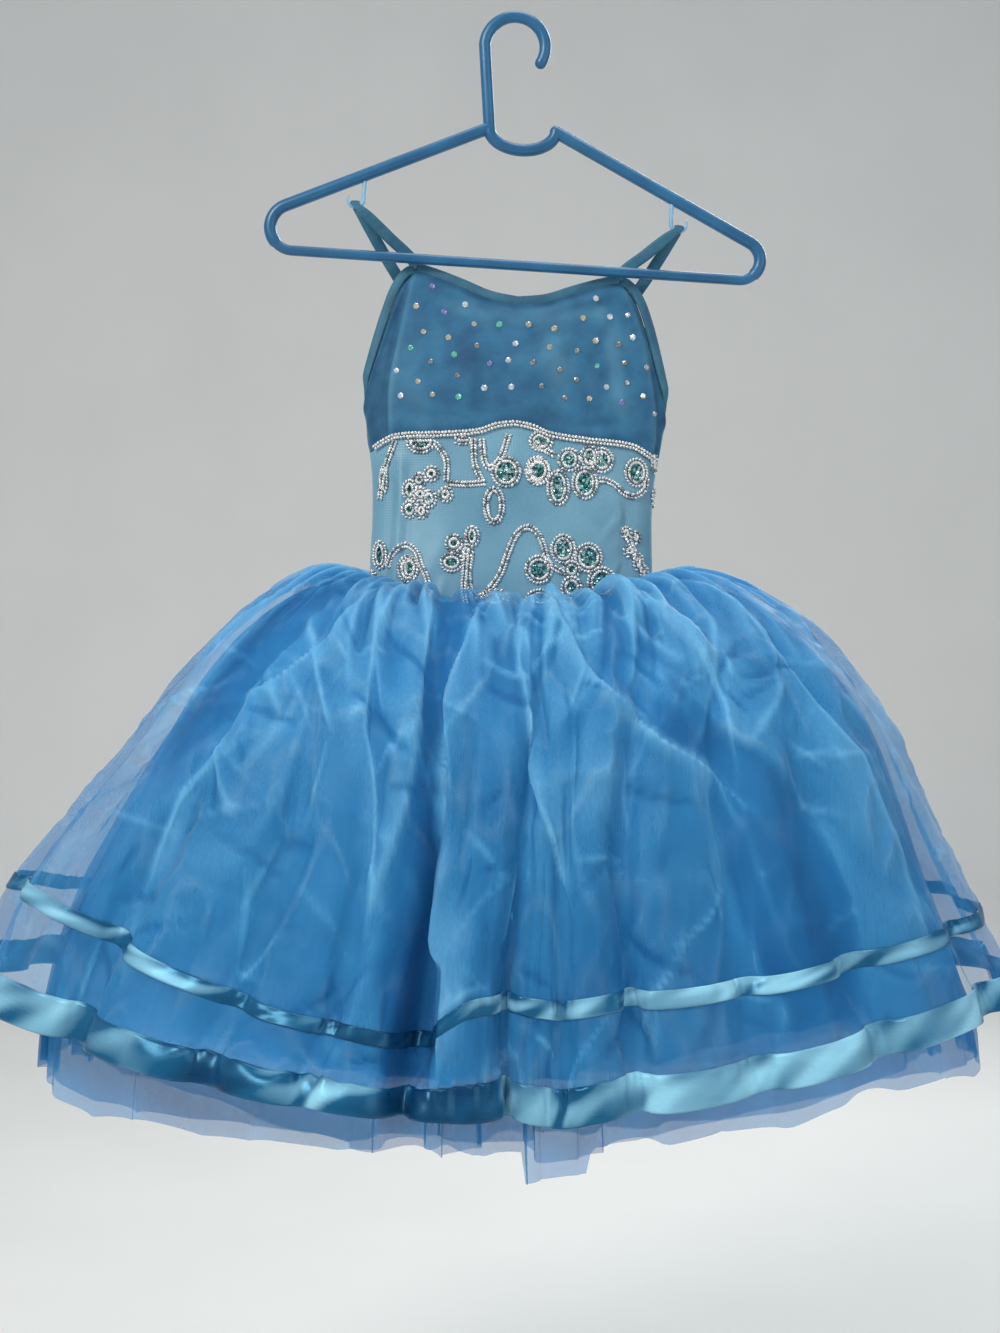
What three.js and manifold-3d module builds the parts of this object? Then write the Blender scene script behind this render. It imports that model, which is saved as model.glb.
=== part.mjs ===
// A child's ballet tutu hung by its straps from a tubular plastic hanger, in millimetres.
// +X is the wearer's left seen from the front, -Y is the front and +Z is up.
// The origin is the inner top of the hanger's hook, where a rail or a wall hook holds it.
import * as THREE from "three";
import { mergeVertices } from "three/addons/utils/BufferGeometryUtils.js";
import Module from "manifold-3d";

const wasm = await Module();
wasm.setup();

// ---- Driving sizes -------------------------------------------------------------------------
const SEAM = 0.3; // gap left between neighbouring pieces
const VELVET = 1.8; // wall of the velvet panels
const SATIN = 1.4; // wall of the midriff panels
const SHEER = 1.0; // wall of one skirt layer
const RIBBON = 1.0;
const RIBBON_GAP = 0.9;

const HANGER = {
  tilt: 3.8, // degrees that its right side hangs low
  middle: 11, // middle of the frame, to the right of the hook
  halfLength: 206.4, // middle to the outermost centre line
  barZ: -203.5,
  barRadius: 4.3,
  armRadius: 5.2,
  neckHalf: 28,
  neckDip: 17,
  hookRadius: 25.5, // centre line
  hookTube: 5,
  hookEnd: -28, // degrees past level where the tip is
  strapHookAt: 129.5, // from the middle
  strapHookDrop: 15,
  strapHookRadius: 6.6,
  strapHookTube: 1.9,
};
const HANGER_SIDES = [
  { side: -1, slope: 24.6, endRadius: 19.6 },
  { side: 1, slope: 25.9, endRadius: 16.8 },
];

// Sections of the bodice. lean is how far the right side hangs low, in mm of height a mm.
const BOXINESS = 2.5;
const BODICE = [
  { z: -512, halfX: 120, frontY: -31, backY: 43, centreX: -5, lean: 0 },
  { z: -480, halfX: 120, frontY: -31, backY: 43, centreX: -5, lean: 0.005 },
  { z: -430, halfX: 118, frontY: -27, backY: 42, centreX: -4, lean: 0.02 },
  { z: -385, halfX: 119, frontY: -23, backY: 44, centreX: -3, lean: 0.035 },
  { z: -345, halfX: 125, frontY: -19, backY: 46, centreX: -2, lean: 0.045 },
  { z: -311, halfX: 128, frontY: -14, backY: 45, centreX: -1, lean: 0.05 },
  { z: -275, halfX: 128, frontY: -7, backY: 42, centreX: 0, lean: 0.055 },
  { z: -240, halfX: 128, frontY: 1, backY: 39, centreX: 1, lean: 0.059 },
  { z: -200, halfX: 128, frontY: 9, backY: 36, centreX: 1, lean: 0.059 },
];

// Height of the edges over the distance out from the middle.
const FRONT_EDGE = [
  { x: 0, z: -238 },
  { x: 25, z: -234 },
  { x: 50, z: -224.5 },
  { x: 75, z: -216 },
  { x: 85, z: -214 },
  { x: 93, z: -218 },
  { x: 101, z: -231 },
  { x: 110, z: -258 },
  { x: 118, z: -286 },
  { x: 125, z: -309 },
  { x: 128, z: -322 },
];
const BACK_EDGE = [
  { x: 0, z: -286 },
  { x: 30, z: -281 },
  { x: 60, z: -266 },
  { x: 80, z: -248 },
  { x: 92, z: -238 },
  { x: 99, z: -243 },
  { x: 106, z: -256 },
  { x: 112, z: -270 },
  { x: 119, z: -291 },
  { x: 125, z: -311 },
  { x: 128, z: -322 },
];
const BUST_SEAM = [
  { x: 0, z: -339 },
  { x: 15, z: -341.5 },
  { x: 30, z: -347 },
  { x: 60, z: -350.5 },
  { x: 100, z: -353 },
  { x: 113, z: -358 },
  { x: 125, z: -365 },
];
const BACK_SEAM_Z = -365;
const FRONT_CORNER_X = 86; // where the neckline turns into the armhole
const BACK_CORNER_X = 93;
const BINDING = { width: 8, depth: 3.4 };
const BUST_TRIM = { width: 5.6, depth: 3.4 };
const STRAP = { width: 10, narrow: 7.4, depth: 1.8, loop: 3.1 };

// Stations down the skirt from the waist seam, on the outside of its outermost layer.
const SKIRT = [
  { along: 0, halfX: 121, sideZ: -483, frontY: -32, frontZ: -499, backY: 44, backZ: -490, centreX: -5 },
  { along: 22, halfX: 141, sideZ: -466, frontY: -49, frontZ: -487, backY: 58, backZ: -480, centreX: -4 },
  { along: 61, halfX: 180, sideZ: -470, frontY: -86, frontZ: -491, backY: 84, backZ: -489, centreX: -1 },
  { along: 109, halfX: 225, sideZ: -495, frontY: -126, frontZ: -511, backY: 110, backZ: -516, centreX: 1 },
  { along: 164, halfX: 267, sideZ: -534, frontY: -166, frontZ: -549, backY: 133, backZ: -562, centreX: 2 },
  { along: 226, halfX: 304, sideZ: -582, frontY: -199, frontZ: -603, backY: 149, backZ: -622, centreX: 1 },
  { along: 292, halfX: 337, sideZ: -634, frontY: -219, frontZ: -668, backY: 159, backZ: -687, centreX: -6 },
  { along: 348, halfX: 366, sideZ: -679, frontY: -229, frontZ: -725, backY: 164, backZ: -744, centreX: -12 },
  { along: 396, halfX: 391, sideZ: -718, frontY: -235, frontZ: -774, backY: 167, backZ: -793, centreX: -16 },
  { along: 434, halfX: 409, sideZ: -749, frontY: -240, frontZ: -813, backY: 169, backZ: -833, centreX: -18 },
  { along: 487, halfX: 429, sideZ: -795, frontY: -246, frontZ: -864, backY: 171, backZ: -886, centreX: -19 },
  { along: 540, halfX: 440, sideZ: -846, frontY: -249, frontZ: -917, backY: 172, backZ: -939, centreX: -19 },
  { along: 600, halfX: 446, sideZ: -905, frontY: -250, frontZ: -977, backY: 172, backZ: -999, centreX: -19 },
];
const SKIRT_BOXINESS = 1.97;
const SIDE_HOLD = 3.2; // how suddenly the level falls from the sides to the front and back
const GRAIN_SPREAD = 0.3; // radians that the front's cloth keeps closer to straight down
const HEM = 487;
const NARROW_RIBBON = { from: 398, to: 410.7 };
const WIDE_RIBBON = { from: 457, to: 487 };

// Folds round the skirt. at and half are degrees round the waist from the middle of the front,
// depth and drop are mm at the hem, and hem is how much longer the tulle is cut there.
const FOLDS = [
  { at: -171, half: 5.0, depth: 16, drop: 2, hem: 4 },
  { at: -154, half: 4.5, depth: 19, drop: 3, hem: -5 },
  { at: -136, half: 5.0, depth: 15, drop: 1, hem: 6 },
  { at: -118, half: 4.6, depth: 18, drop: 2, hem: -2 },
  { at: -100, half: 4.8, depth: 15, drop: 2, hem: 3 },
  { at: -81, half: 4.6, depth: 16, drop: 1, hem: -6 },
  { at: -62, half: 4.2, depth: 24, drop: 3, hem: 2 },
  { at: -46, half: 4.0, depth: 14, drop: 1, hem: 8 },
  { at: -34, half: 3.6, depth: 11, drop: 2, hem: -3 },
  { at: -20, half: 4.6, depth: 40, drop: 8, hem: -4 },
  { at: 3, half: 4.4, depth: 19, drop: -3, hem: 15 },
  { at: 16, half: 3.8, depth: 8, drop: 5, hem: -8 },
  { at: 29, half: 4.0, depth: 17, drop: -2, hem: 3 },
  { at: 45, half: 4.4, depth: 15, drop: 0, hem: 6 },
  { at: 59, half: 4.2, depth: 19, drop: 2, hem: -7 },
  { at: 75, half: 4.6, depth: 16, drop: 2, hem: 5 },
  { at: 93, half: 4.8, depth: 17, drop: 1, hem: -3 },
  { at: 112, half: 5.0, depth: 14, drop: 2, hem: 4 },
  { at: 131, half: 4.8, depth: 18, drop: 3, hem: -5 },
  { at: 150, half: 5.0, depth: 15, drop: 1, hem: 5 },
  { at: 170, half: 4.6, depth: 17, drop: 2, hem: 0 },
];
// How much lower the overskirt hangs at the narrow ribbon and how far its hem stands out
// and hangs low there.
const SAG = [
  { round: -180, down: 0, out: 0, low: 0 },
  { round: -110, down: 0, out: 0, low: 0 },
  { round: -78, down: -16, out: 0, low: 9 },
  { round: -64, down: -2, out: 8, low: 8 },
  { round: -48, down: 19, out: 20, low: 5 },
  { round: -30, down: 27, out: 26, low: 0 },
  { round: -15, down: 24, out: 20, low: -2 },
  { round: -8, down: 3, out: 6, low: 0 },
  { round: 0, down: 0, out: 0, low: 0 },
  { round: 30, down: 2, out: 0, low: 5 },
  { round: 55, down: 10, out: 0, low: 11 },
  { round: 80, down: 12, out: 0, low: 13 },
  { round: 110, down: 0, out: 0, low: 0 },
  { round: 180, down: 0, out: 0, low: 0 },
];
const PINCH = 0.35; // share of a fold's half width by which its mouth closes
const GATHER_DEPTH = 2.6;

// Length of each layer down from the waist seam, over degrees round the waist.
const OVERSKIRT_HEM = [
  { round: -180, along: HEM - 3 },
  { round: 180, along: HEM - 3 },
];
const TULLE_OUTER_HEM = [
  { round: -180, along: 518 },
  { round: -110, along: 522 },
  { round: -84, along: 552 },
  { round: -66, along: 556 },
  { round: -50, along: 532 },
  { round: -30, along: 518 },
  { round: -12, along: 508 },
  { round: 4.2, along: 508 },
  { round: 5.2, along: 528 },
  { round: 21.4, along: 524 },
  { round: 22.6, along: 508 },
  { round: 45, along: 514 },
  { round: 64, along: 524 },
  { round: 80, along: 540 },
  { round: 96, along: 532 },
  { round: 120, along: 516 },
  { round: 180, along: 518 },
];
const TULLE_INNER_HEM = [
  { round: -180, along: 512 },
  { round: -90, along: 530 },
  { round: -60, along: 520 },
  { round: 0, along: 514 },
  { round: 60, along: 516 },
  { round: 90, along: 524 },
  { round: 180, along: 512 },
];
const PANEL_START = 4.2; // where a corner of the tulle starts to hang lower at the front
const STATIONS = [0, 20, 62, 135, 235];
// Skirt layers from the outside in. The insets are mm at the hem of the overskirt.
// flatter is the share by which a layer's folds fade at the sides.
const LAYERS = {
  overskirt: {
    waistInset: 0,
    inset: 0,
    leftInset: 0,
    rightInset: 0,
    wave: 0,
    flatter: 0,
    rows: [...STATIONS, 396, 457],
    hem: OVERSKIRT_HEM,
  },
  tulle_outer: {
    waistInset: 1.9,
    inset: 11,
    leftInset: 44,
    rightInset: 20,
    wave: 0.6,
    flatter: 0.35,
    rows: STATIONS,
    hem: TULLE_OUTER_HEM,
  },
  tulle_inner: {
    waistInset: 3.8,
    inset: 24,
    leftInset: 60,
    rightInset: 38,
    wave: -0.6,
    flatter: 0.6,
    rows: STATIONS,
    hem: TULLE_INNER_HEM,
  },
};

// Beaded motifs of the midriff, each fused of petals and stems, in mm across and up.
const APPLIQUE_HEIGHT = 2.2;
const APPLIQUE_GAP = 0.5;
const STEM_WIDTH = 4.6;
const MOTIFS = {
  // petals: x, z, half width, half height. stems: x, z at each point.
  applique_upper_left: {
    petals: [
      [-89, -394, 6, 8.3],
      [-71, -381, 6.4, 6.4],
      [-81, -386, 6, 6],
      [-73, -402, 6.4, 7.4],
      [-89, -410.5, 6.4, 7.4],
      [-79, -412, 5.5, 6.4],
      [-80, -398, 6, 6],
      [-59, -398.6, 6.6, 6.6],
      [-45, -354.5, 8, 4.6],
      [-9, -380, 11.4, 12],
      [-19, -408, 8.3, 14.7],
    ],
    stems: [
      [[-67, -357], [-60, -369], [-58.5, -380], [-58.5, -396]],
      [[-72, -400], [-62, -399]],
      [[-57, -389], [-42, -390], [-27, -389], [-14, -385]],
      [[-36, -353], [-36, -364], [-34, -377], [-29, -387.5]],
      [[-29, -353], [-29, -362], [-27, -371], [-22, -376], [-14, -369], [-7, -349]],
      [[-28, -388.5], [-22, -396]],
    ],
  },
  applique_top_edge: { petals: [[-80, -354, 11.4, 9.2]], stems: [] },
  applique_upper_right: {
    petals: [
      [20, -354, 9.2, 8.3],
      [43, -369.5, 8.8, 9.2],
      [60, -367, 7.4, 9.2],
      [70, -369.5, 9.2, 10],
      [17.5, -379, 10.2, 11.6],
      [33.5, -392.5, 9.2, 14.2],
      [56, -389, 10, 12.5],
      [99, -379, 9.2, 11.4],
    ],
    stems: [
      [[15, -356], [22.5, -361], [30, -365.5], [37, -369]],
      [[42, -372], [35, -387]],
      [[47, -371], [55, -384]],
      [[47, -369], [64, -368]],
      [[65, -387], [70, -386], [79.5, -389], [89, -397], [98, -399], [106, -393], [107, -384]],
    ],
  },
  applique_left_side: {
    petals: [[-111, -385, 3.7, 11]],
    stems: [[[-103, -358], [-108, -369], [-112, -384], [-114, -400]]],
  },
  applique_lower_left: {
    petals: [
      [-114, -448, 5.9, 11.4],
      [-120, -467, 3.7, 6.4],
      [-89, -459.5, 8.8, 11.5],
    ],
    stems: [
      [[-119, -465], [-113, -458], [-107, -454], [-103, -447], [-93, -440],
        [-84, -445], [-79, -457.5], [-72, -482]],
    ],
  },
  applique_lower_middle: {
    petals: [
      [-52, -439, 7, 7],
      [-37, -433.5, 5.9, 8.3],
      [-54, -455, 8.8, 7.7],
      [-42, -446, 6, 6],
      [-16, -485, 11, 7.4],
      [38, -444, 9.6, 11.4],
      [59, -451, 10.7, 11.4],
      [18, -461, 10.7, 11],
      [45, -461, 7, 7],
      [45, -476, 8.3, 8.8],
      [70, -472, 11.4, 12.5],
    ],
    stems: [
      [[-42, -446], [-43.5, -461], [-44, -474], [-42, -488]],
      [[45, -462], [45, -475]],
      [[-37, -436], [-41, -446]],
      [[-53, -455], [-43, -452]],
      [[38, -446], [44, -460]],
      [[60, -464], [69, -470]],
      [[-38, -446], [-40, -463], [-38, -477], [-31, -484], [-22, -477], [-14, -465], [-7, -446], [-1, -432],
        [8, -426], [16, -430], [22, -441], [26, -453], [37, -461], [46, -462], [60, -465]],
    ],
  },
  applique_waist_edge: {
    petals: [
      [19, -484, 11, 7.4],
      [32, -487, 8, 5],
    ],
    stems: [],
  },
  applique_lower_right: {
    petals: [
      [91, -430, 5, 5.8],
      [99, -433.5, 5, 5.8],
      [94, -445, 5.8, 5.8],
      [101, -454, 5, 7.6],
      [106, -463, 4.4, 6.6],
    ],
    stems: [[[89, -426], [95, -440], [100, -452], [106, -464], [110, -477]]],
  },
};

// ---- Shared form ---------------------------------------------------------------------------
const radians = THREE.MathUtils.degToRad;
const ramp = THREE.MathUtils.smoothstep;

// Smooth value of a table's column where its key column is x.
function valueAt(table, key, column, x) {
  const last = table.length - 1;
  let i = 0;
  const up = Math.sign(table[last][key] - table[0][key]);
  while (i < last - 1 && (x - table[i + 1][key]) * up > 0) i += 1;
  const slope = (j) => {
    const before = table[Math.max(j - 1, 0)];
    const after = table[Math.min(j + 1, last)];
    return (after[column] - before[column]) / (after[key] - before[key]);
  };
  const span = table[i + 1][key] - table[i][key];
  const u = THREE.MathUtils.clamp((x - table[i][key]) / span, 0, 1);
  const [u2, u3] = [u * u, u * u * u];
  return (
    table[i][column] * (2 * u3 - 3 * u2 + 1) +
    slope(i) * span * (u3 - 2 * u2 + u) +
    table[i + 1][column] * (3 * u2 - 2 * u3) +
    slope(i + 1) * span * (u3 - u2)
  );
}

// Point of a flattened oval, at an angle from the middle of the front.
function ovalPoint(angle, section, boxiness) {
  const bow = (value) => Math.sign(value) * Math.abs(value) ** (2 / boxiness);
  const middleY = (section.frontY + section.backY) / 2;
  const depth = Math.cos(angle) > 0 ? middleY - section.frontY : section.backY - middleY;
  return new THREE.Vector3(
    section.centreX + section.halfX * bow(Math.sin(angle)),
    middleY - depth * bow(Math.cos(angle)),
    0,
  );
}

// Straight-line value of a table's column where its key column is x.
function straightAt(table, key, column, x) {
  const i = Math.max(table.findIndex((row) => row[key] > x) - 1, 0);
  const [a, b] = x >= table.at(-1)[key] ? table.slice(-2) : [table[i], table[i + 1]];
  return a[column] + ((b[column] - a[column]) * (x - a[key])) / (b[key] - a[key]);
}

// A closed body through loops of as many points each, in a ring or capped at both ends.
// A wall's loops hold its outside and then its inside back, and both are split along the same corners.
function loft(loops, ring, wall = false) {
  const size = loops[0].length;
  const faces = [];
  const quad = (a, b, c, d) => faces.push(a, b, c, a, c, d);
  const mirrored = (a, b, c, d) => faces.push(a, b, d, b, c, d);
  loops.forEach((_, i) => {
    if (!ring && i === loops.length - 1) return;
    const here = i * size;
    const next = ((i + 1) % loops.length) * size;
    for (let k = 0; k < size; k += 1) {
      const l = (k + 1) % size;
      const split = wall && k >= size / 2 ? mirrored : quad;
      split(here + k, next + k, next + l, here + l);
    }
  });
  if (!ring) {
    const end = (loops.length - 1) * size;
    for (let k = 0; k < size / 2 - 1; k += 1) {
      quad(k, k + 1, size - 2 - k, size - 1 - k);
      quad(end + k, end + size - 1 - k, end + size - 2 - k, end + k + 1);
    }
  }
  const points = loops.flat();
  let volume = 0;
  for (let f = 0; f < faces.length; f += 3) {
    const [a, b, c] = faces.slice(f, f + 3).map((index) => points[index]);
    volume += a.dot(new THREE.Vector3().crossVectors(b, c));
  }
  if (volume < 0) faces.reverse();
  const geometry = new THREE.BufferGeometry().setFromPoints(points).setIndex(faces);
  geometry.computeVertexNormals();
  return geometry;
}

// A round or flat bar along points. across gives the section's two directions at each point.
function bar(points, across, section) {
  return loft(
    points.map((point, i) => {
      const [side, out] = across(i);
      return section(i).map(([u, w]) => point.clone().addScaledVector(side, u).addScaledVector(out, w));
    }),
    false,
  );
}

const roundSection = (radius, sides) =>
  Array.from({ length: sides }, (_, k) => {
    const angle = (2 * Math.PI * (k + 0.5)) / sides;
    return [radius * Math.cos(angle), radius * Math.sin(angle)];
  });
const softSection = (width, depth) => [
  [-width / 2, 0],
  [-width / 4, depth / 2],
  [width / 4, depth / 2],
  [width / 2, 0],
  [width / 4, -depth / 2],
  [-width / 4, -depth / 2],
];
const flatSection = (width, depth) => [
  [-width / 2, -depth / 2],
  [width / 2, -depth / 2],
  [width / 2, depth / 2],
  [-width / 2, depth / 2],
];

// Unit direction of a line of points at one of them.
function directionAt(points, i) {
  const before = points[Math.max(i - 1, 0)];
  const after = points[Math.min(i + 1, points.length - 1)];
  return new THREE.Vector3().subVectors(after, before).normalize();
}

// A round tube whose line lies in the XZ plane.
function planeTube(points, radiusAt, sides) {
  const toBack = new THREE.Vector3(0, 1, 0);
  const across = (i) => [new THREE.Vector3().crossVectors(directionAt(points, i), toBack), toBack];
  return bar(points, across, (i) => roundSection(radiusAt(i), sides));
}

function solidOf(geometry) {
  const bare = geometry.clone();
  bare.deleteAttribute("normal");
  bare.deleteAttribute("uv");
  const merged = mergeVertices(bare, 1e-4);
  return new wasm.Manifold(
    new wasm.Mesh({
      numProp: 3,
      vertProperties: merged.attributes.position.array,
      triVerts: new Uint32Array(merged.index.array),
    }),
  );
}

function fused(geometries) {
  const made = geometries.map(solidOf).reduce((a, b) => a.add(b)).getMesh();
  const geometry = new THREE.BufferGeometry();
  geometry.setAttribute("position", new THREE.BufferAttribute(made.vertProperties, 3));
  geometry.setIndex(new THREE.BufferAttribute(made.triVerts, 1));
  geometry.computeVertexNormals();
  return geometry;
}

// ---- Materials -----------------------------------------------------------------------------
const finish = (color, roughness, metalness = 0, opacity = 1) =>
  new THREE.MeshStandardMaterial({ color, roughness, metalness, opacity, transparent: opacity < 1 });
const PLASTIC = finish(0x1f5c8c, 0.35);
const VELVET_BLUE = finish(0x2f78ab, 0.85);
const BINDING_BLUE = finish(0x3c7896, 0.8);
const PALE_SATIN = finish(0x7fb2c6, 0.55);
const SILVER_BEADS = finish(0xc9cbc4, 0.25, 0.6);
const ORGANZA = finish(0x3f8fd0, 0.5, 0, 0.55);
const TULLE = finish(0x1f74c4, 0.8, 0, 0.6);
const RIBBON_SATIN = finish(0x3f93bd, 0.3);

const tutu = new THREE.Group();
function addPiece(parent, name, geometry, material) {
  const mesh = new THREE.Mesh(geometry, material);
  mesh.name = name;
  parent.add(mesh);
  return mesh;
}

// ---- Hanger --------------------------------------------------------------------------------
const arc = (x, z, radius, from, to, steps) =>
  Array.from({ length: steps + 1 }, (_, i) => {
    const angle = radians(from + ((to - from) * i) / steps);
    return new THREE.Vector3(x + radius * Math.cos(angle), 0, z + radius * Math.sin(angle));
  });

// Height of a shoulder arm's centre line at a distance from the middle.
function armZ(arm, distance) {
  const endX = HANGER.halfLength - arm.endRadius;
  const tangentX = endX + arm.endRadius * Math.sin(radians(arm.slope));
  const tangentZ = HANGER.barZ + arm.endRadius * (1 + Math.cos(radians(arm.slope)));
  return tangentZ + (tangentX - distance) * Math.tan(radians(arm.slope));
}

// Half the frame from the neck out along the arm and round the end to the bar.
function halfFrame(arm) {
  const end = arc(
    HANGER.halfLength - arm.endRadius,
    HANGER.barZ + arm.endRadius,
    arm.endRadius,
    90 - arm.slope,
    -90,
    6,
  );
  const neck = new THREE.Vector3(HANGER.neckHalf, 0, armZ(arm, HANGER.neckHalf));
  return [neck, ...end].map((p) => new THREE.Vector3(HANGER.middle + arm.side * p.x, 0, p.z));
}

function strapHook(arm) {
  const x = HANGER.middle + arm.side * HANGER.strapHookAt;
  const top = armZ(arm, HANGER.strapHookAt);
  const radius = HANGER.strapHookRadius;
  const stem = [new THREE.Vector3(x, 0, top)];
  const turn = arc(0, top - HANGER.strapHookDrop - 6, radius, 0, -200, 8).map(
    (p) => new THREE.Vector3(x + arm.side * (radius - p.x), 0, p.z),
  );
  const line = [...stem, ...turn];
  return planeTube(line, (i) => HANGER.strapHookTube * (1 - (0.4 * i) / line.length), 6);
}

function hangerGeometry() {
  const [left, right] = HANGER_SIDES.map(halfFrame);
  const frame = [...left, ...right.reverse()];
  const onBar = (i) => frame[i].z < HANGER.barZ + HANGER.armRadius;
  const loop = planeTube(frame, (i) => (onBar(i) ? HANGER.barRadius : HANGER.armRadius), 8);

  const [neckLeft, neckRight] = HANGER_SIDES.map((arm) => armZ(arm, HANGER.neckHalf));
  const dip = Array.from({ length: 9 }, (_, i) => {
    const turn = (Math.PI * i) / 8;
    const z = neckLeft + ((neckRight - neckLeft) * i) / 8 - HANGER.neckDip * Math.sin(turn);
    return new THREE.Vector3(HANGER.middle - HANGER.neckHalf * Math.cos(turn), 0, z);
  });
  const neck = planeTube(dip, () => HANGER.armRadius, 8);

  const centreZ = HANGER.hookTube - HANGER.hookRadius;
  const foot = new THREE.Vector3(HANGER.middle - HANGER.neckHalf, 0, neckLeft);
  const bend = arc(0, centreZ, HANGER.hookRadius, 180, HANGER.hookEnd, 14);
  const hook = planeTube([foot, ...bend], () => HANGER.hookTube, 8);

  const ball = (at, radius) => new THREE.SphereGeometry(radius, 8, 4).translate(at.x, at.y, at.z);
  const balls = [dip[0], dip[8]].map((at) => ball(at, HANGER.armRadius));
  const tip = ball(bend[bend.length - 1], HANGER.hookTube);
  return fused([loop, neck, hook, tip, ...balls, ...HANGER_SIDES.map(strapHook)]);
}

const hanger = new THREE.Group();
hanger.rotation.y = radians(HANGER.tilt);
tutu.add(hanger);
addPiece(hanger, "hanger", hangerGeometry(), PLASTIC);

// ---- Bodice --------------------------------------------------------------------------------
const bodiceSection = (z) =>
  Object.fromEntries(
    ["halfX", "frontY", "backY", "centreX", "lean"].map((name) => [name, valueAt(BODICE, "z", name, z)]),
  );

// A point on the bodice's outside, or out from it, at an angle and a height before it leans.
function bodicePoint(angle, z, out = 0) {
  const section = bodiceSection(z);
  const at = (turn) => ovalPoint(turn, section, BOXINESS);
  const point = at(angle);
  const along = at(angle + 0.01).sub(at(angle - 0.01));
  point.addScaledVector(new THREE.Vector3(along.y, -along.x, 0).normalize(), out);
  point.z = z - section.lean * (point.x - section.centreX);
  return point;
}

// The angle at which the oval is a share of its half width from the middle.
const angleOut = (share) => Math.asin(Math.min(Math.abs(share), 1) ** (BOXINESS / 2)) * Math.sign(share);
const frontAngle = (x) => angleOut(x / 128);
const backAngle = (x) => Math.PI - frontAngle(x);
const heightOn = (edge, x) => valueAt(edge, "x", "z", Math.abs(x));

// Places across a panel from one side seam to the other.
const HALF_COLUMNS = [0, 14, 28, 42, 56, 70, 79, FRONT_CORNER_X, BACK_CORNER_X, 101, 109, 117, 124, 127];
const SIDE_X = 127.9999;
const COLUMNS = [
  -SIDE_X,
  ...HALF_COLUMNS.slice(1).reverse().map((x) => -x),
  ...HALF_COLUMNS,
  SIDE_X,
];

// A cloth panel between two edges, split into rows. Edges give a height for a place across.
function panel(angleAt, lowEdge, highEdge, rows, wall) {
  return loft(
    COLUMNS.map((x) => {
      const heights = Array.from({ length: rows + 1 }, (_, k) =>
        THREE.MathUtils.lerp(lowEdge(x), highEdge(x), k / rows),
      );
      const outside = heights.map((z) => bodicePoint(angleAt(x), z));
      const inside = heights.map((z) => bodicePoint(angleAt(x), z, -wall)).reverse();
      return [...outside, ...inside];
    }),
    false,
    true,
  );
}

const bustSeam = (x) => heightOn(BUST_SEAM, x);
const waistLow = (x, middleZ) => -490 + (middleZ + 490) * (1 - (x / SIDE_X) ** 2);
const pieces = {
  bodice_front: panel(frontAngle, (x) => bustSeam(x) + SEAM, (x) => heightOn(FRONT_EDGE, x), 4, VELVET),
  bodice_back: panel(backAngle, () => BACK_SEAM_Z + SEAM, (x) => heightOn(BACK_EDGE, x), 3, VELVET),
};
for (const [name, geometry] of Object.entries(pieces)) addPiece(tutu, name, geometry, VELVET_BLUE);
addPiece(
  tutu,
  "midriff_front",
  panel(frontAngle, (x) => waistLow(x, -505), (x) => bustSeam(x) - SEAM, 3, SATIN),
  PALE_SATIN,
);
addPiece(
  tutu,
  "midriff_back",
  panel(backAngle, (x) => waistLow(x, -497), () => BACK_SEAM_Z - SEAM, 3, SATIN),
  PALE_SATIN,
);

// A soft bar along an edge of the bodice. rise moves it up off the edge and out moves it off the cloth.
function edging(stops, size, rise, out) {
  const line = stops.map(({ angle, z }) => bodicePoint(angle, z, out));
  const frames = stops.map(({ angle, z }, i) => {
    const normal = bodicePoint(angle, z, 1).sub(bodicePoint(angle, z));
    const up = new THREE.Vector3().crossVectors(normal, directionAt(line, i)).normalize();
    if (up.z < 0) up.negate();
    return [up, normal.normalize()];
  });
  const raised = line.map((point, i) => point.clone().addScaledVector(frames[i][0], rise));
  return bar(raised, (i) => frames[i], () => softSection(size.width, size.depth));
}

const spaced = (from, to, steps) =>
  Array.from({ length: steps + 1 }, (_, i) => from + ((to - from) * i) / steps);
const bindingRise = BINDING.width / 2 + 2 * SEAM;
const CORNER_GAP = 0.7;
const UNDERARM_X = 125; // past here the binding turns across under the arm
const within = (limit) => [
  -limit + CORNER_GAP,
  ...COLUMNS.filter((x) => Math.abs(x) < limit - CORNER_GAP),
  limit - CORNER_GAP,
];
const frontStop = (x) => ({ angle: frontAngle(x), z: heightOn(FRONT_EDGE, x) });
const backStop = (x) => ({ angle: backAngle(x), z: heightOn(BACK_EDGE, x) });
const frontNeck = within(FRONT_CORNER_X).map(frontStop);
const backNeck = within(BACK_CORNER_X).map(backStop);
addPiece(tutu, "neck_binding_front", edging(frontNeck, BINDING, bindingRise, -VELVET / 2), BINDING_BLUE);
addPiece(tutu, "neck_binding_back", edging(backNeck, BINDING, bindingRise, -VELVET / 2), BINDING_BLUE);
for (const [name, side] of [["left", -1], ["right", 1]]) {
  const beyond = (corner) => [
    corner + CORNER_GAP,
    ...HALF_COLUMNS.filter((x) => x > corner + 1 && x < UNDERARM_X),
  ];
  const down = beyond(FRONT_CORNER_X).map((x) => frontStop(side * x));
  const up = beyond(BACK_CORNER_X).map((x) => backStop(side * x)).reverse();
  const turn = { angle: (side * Math.PI) / 2, z: heightOn(FRONT_EDGE, SIDE_X) };
  addPiece(
    tutu,
    `armhole_binding_${name}`,
    edging([...down, turn, ...up], BINDING, bindingRise, -VELVET / 2),
    BINDING_BLUE,
  );
}

const trimStops = spaced(-121, 121, 25).map((x) => ({ angle: frontAngle(x), z: bustSeam(x) }));
addPiece(tutu, "bust_trim", edging(trimStops, BUST_TRIM, 0, SEAM + 0.2 + BUST_TRIM.depth / 2), SILVER_BEADS);

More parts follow.
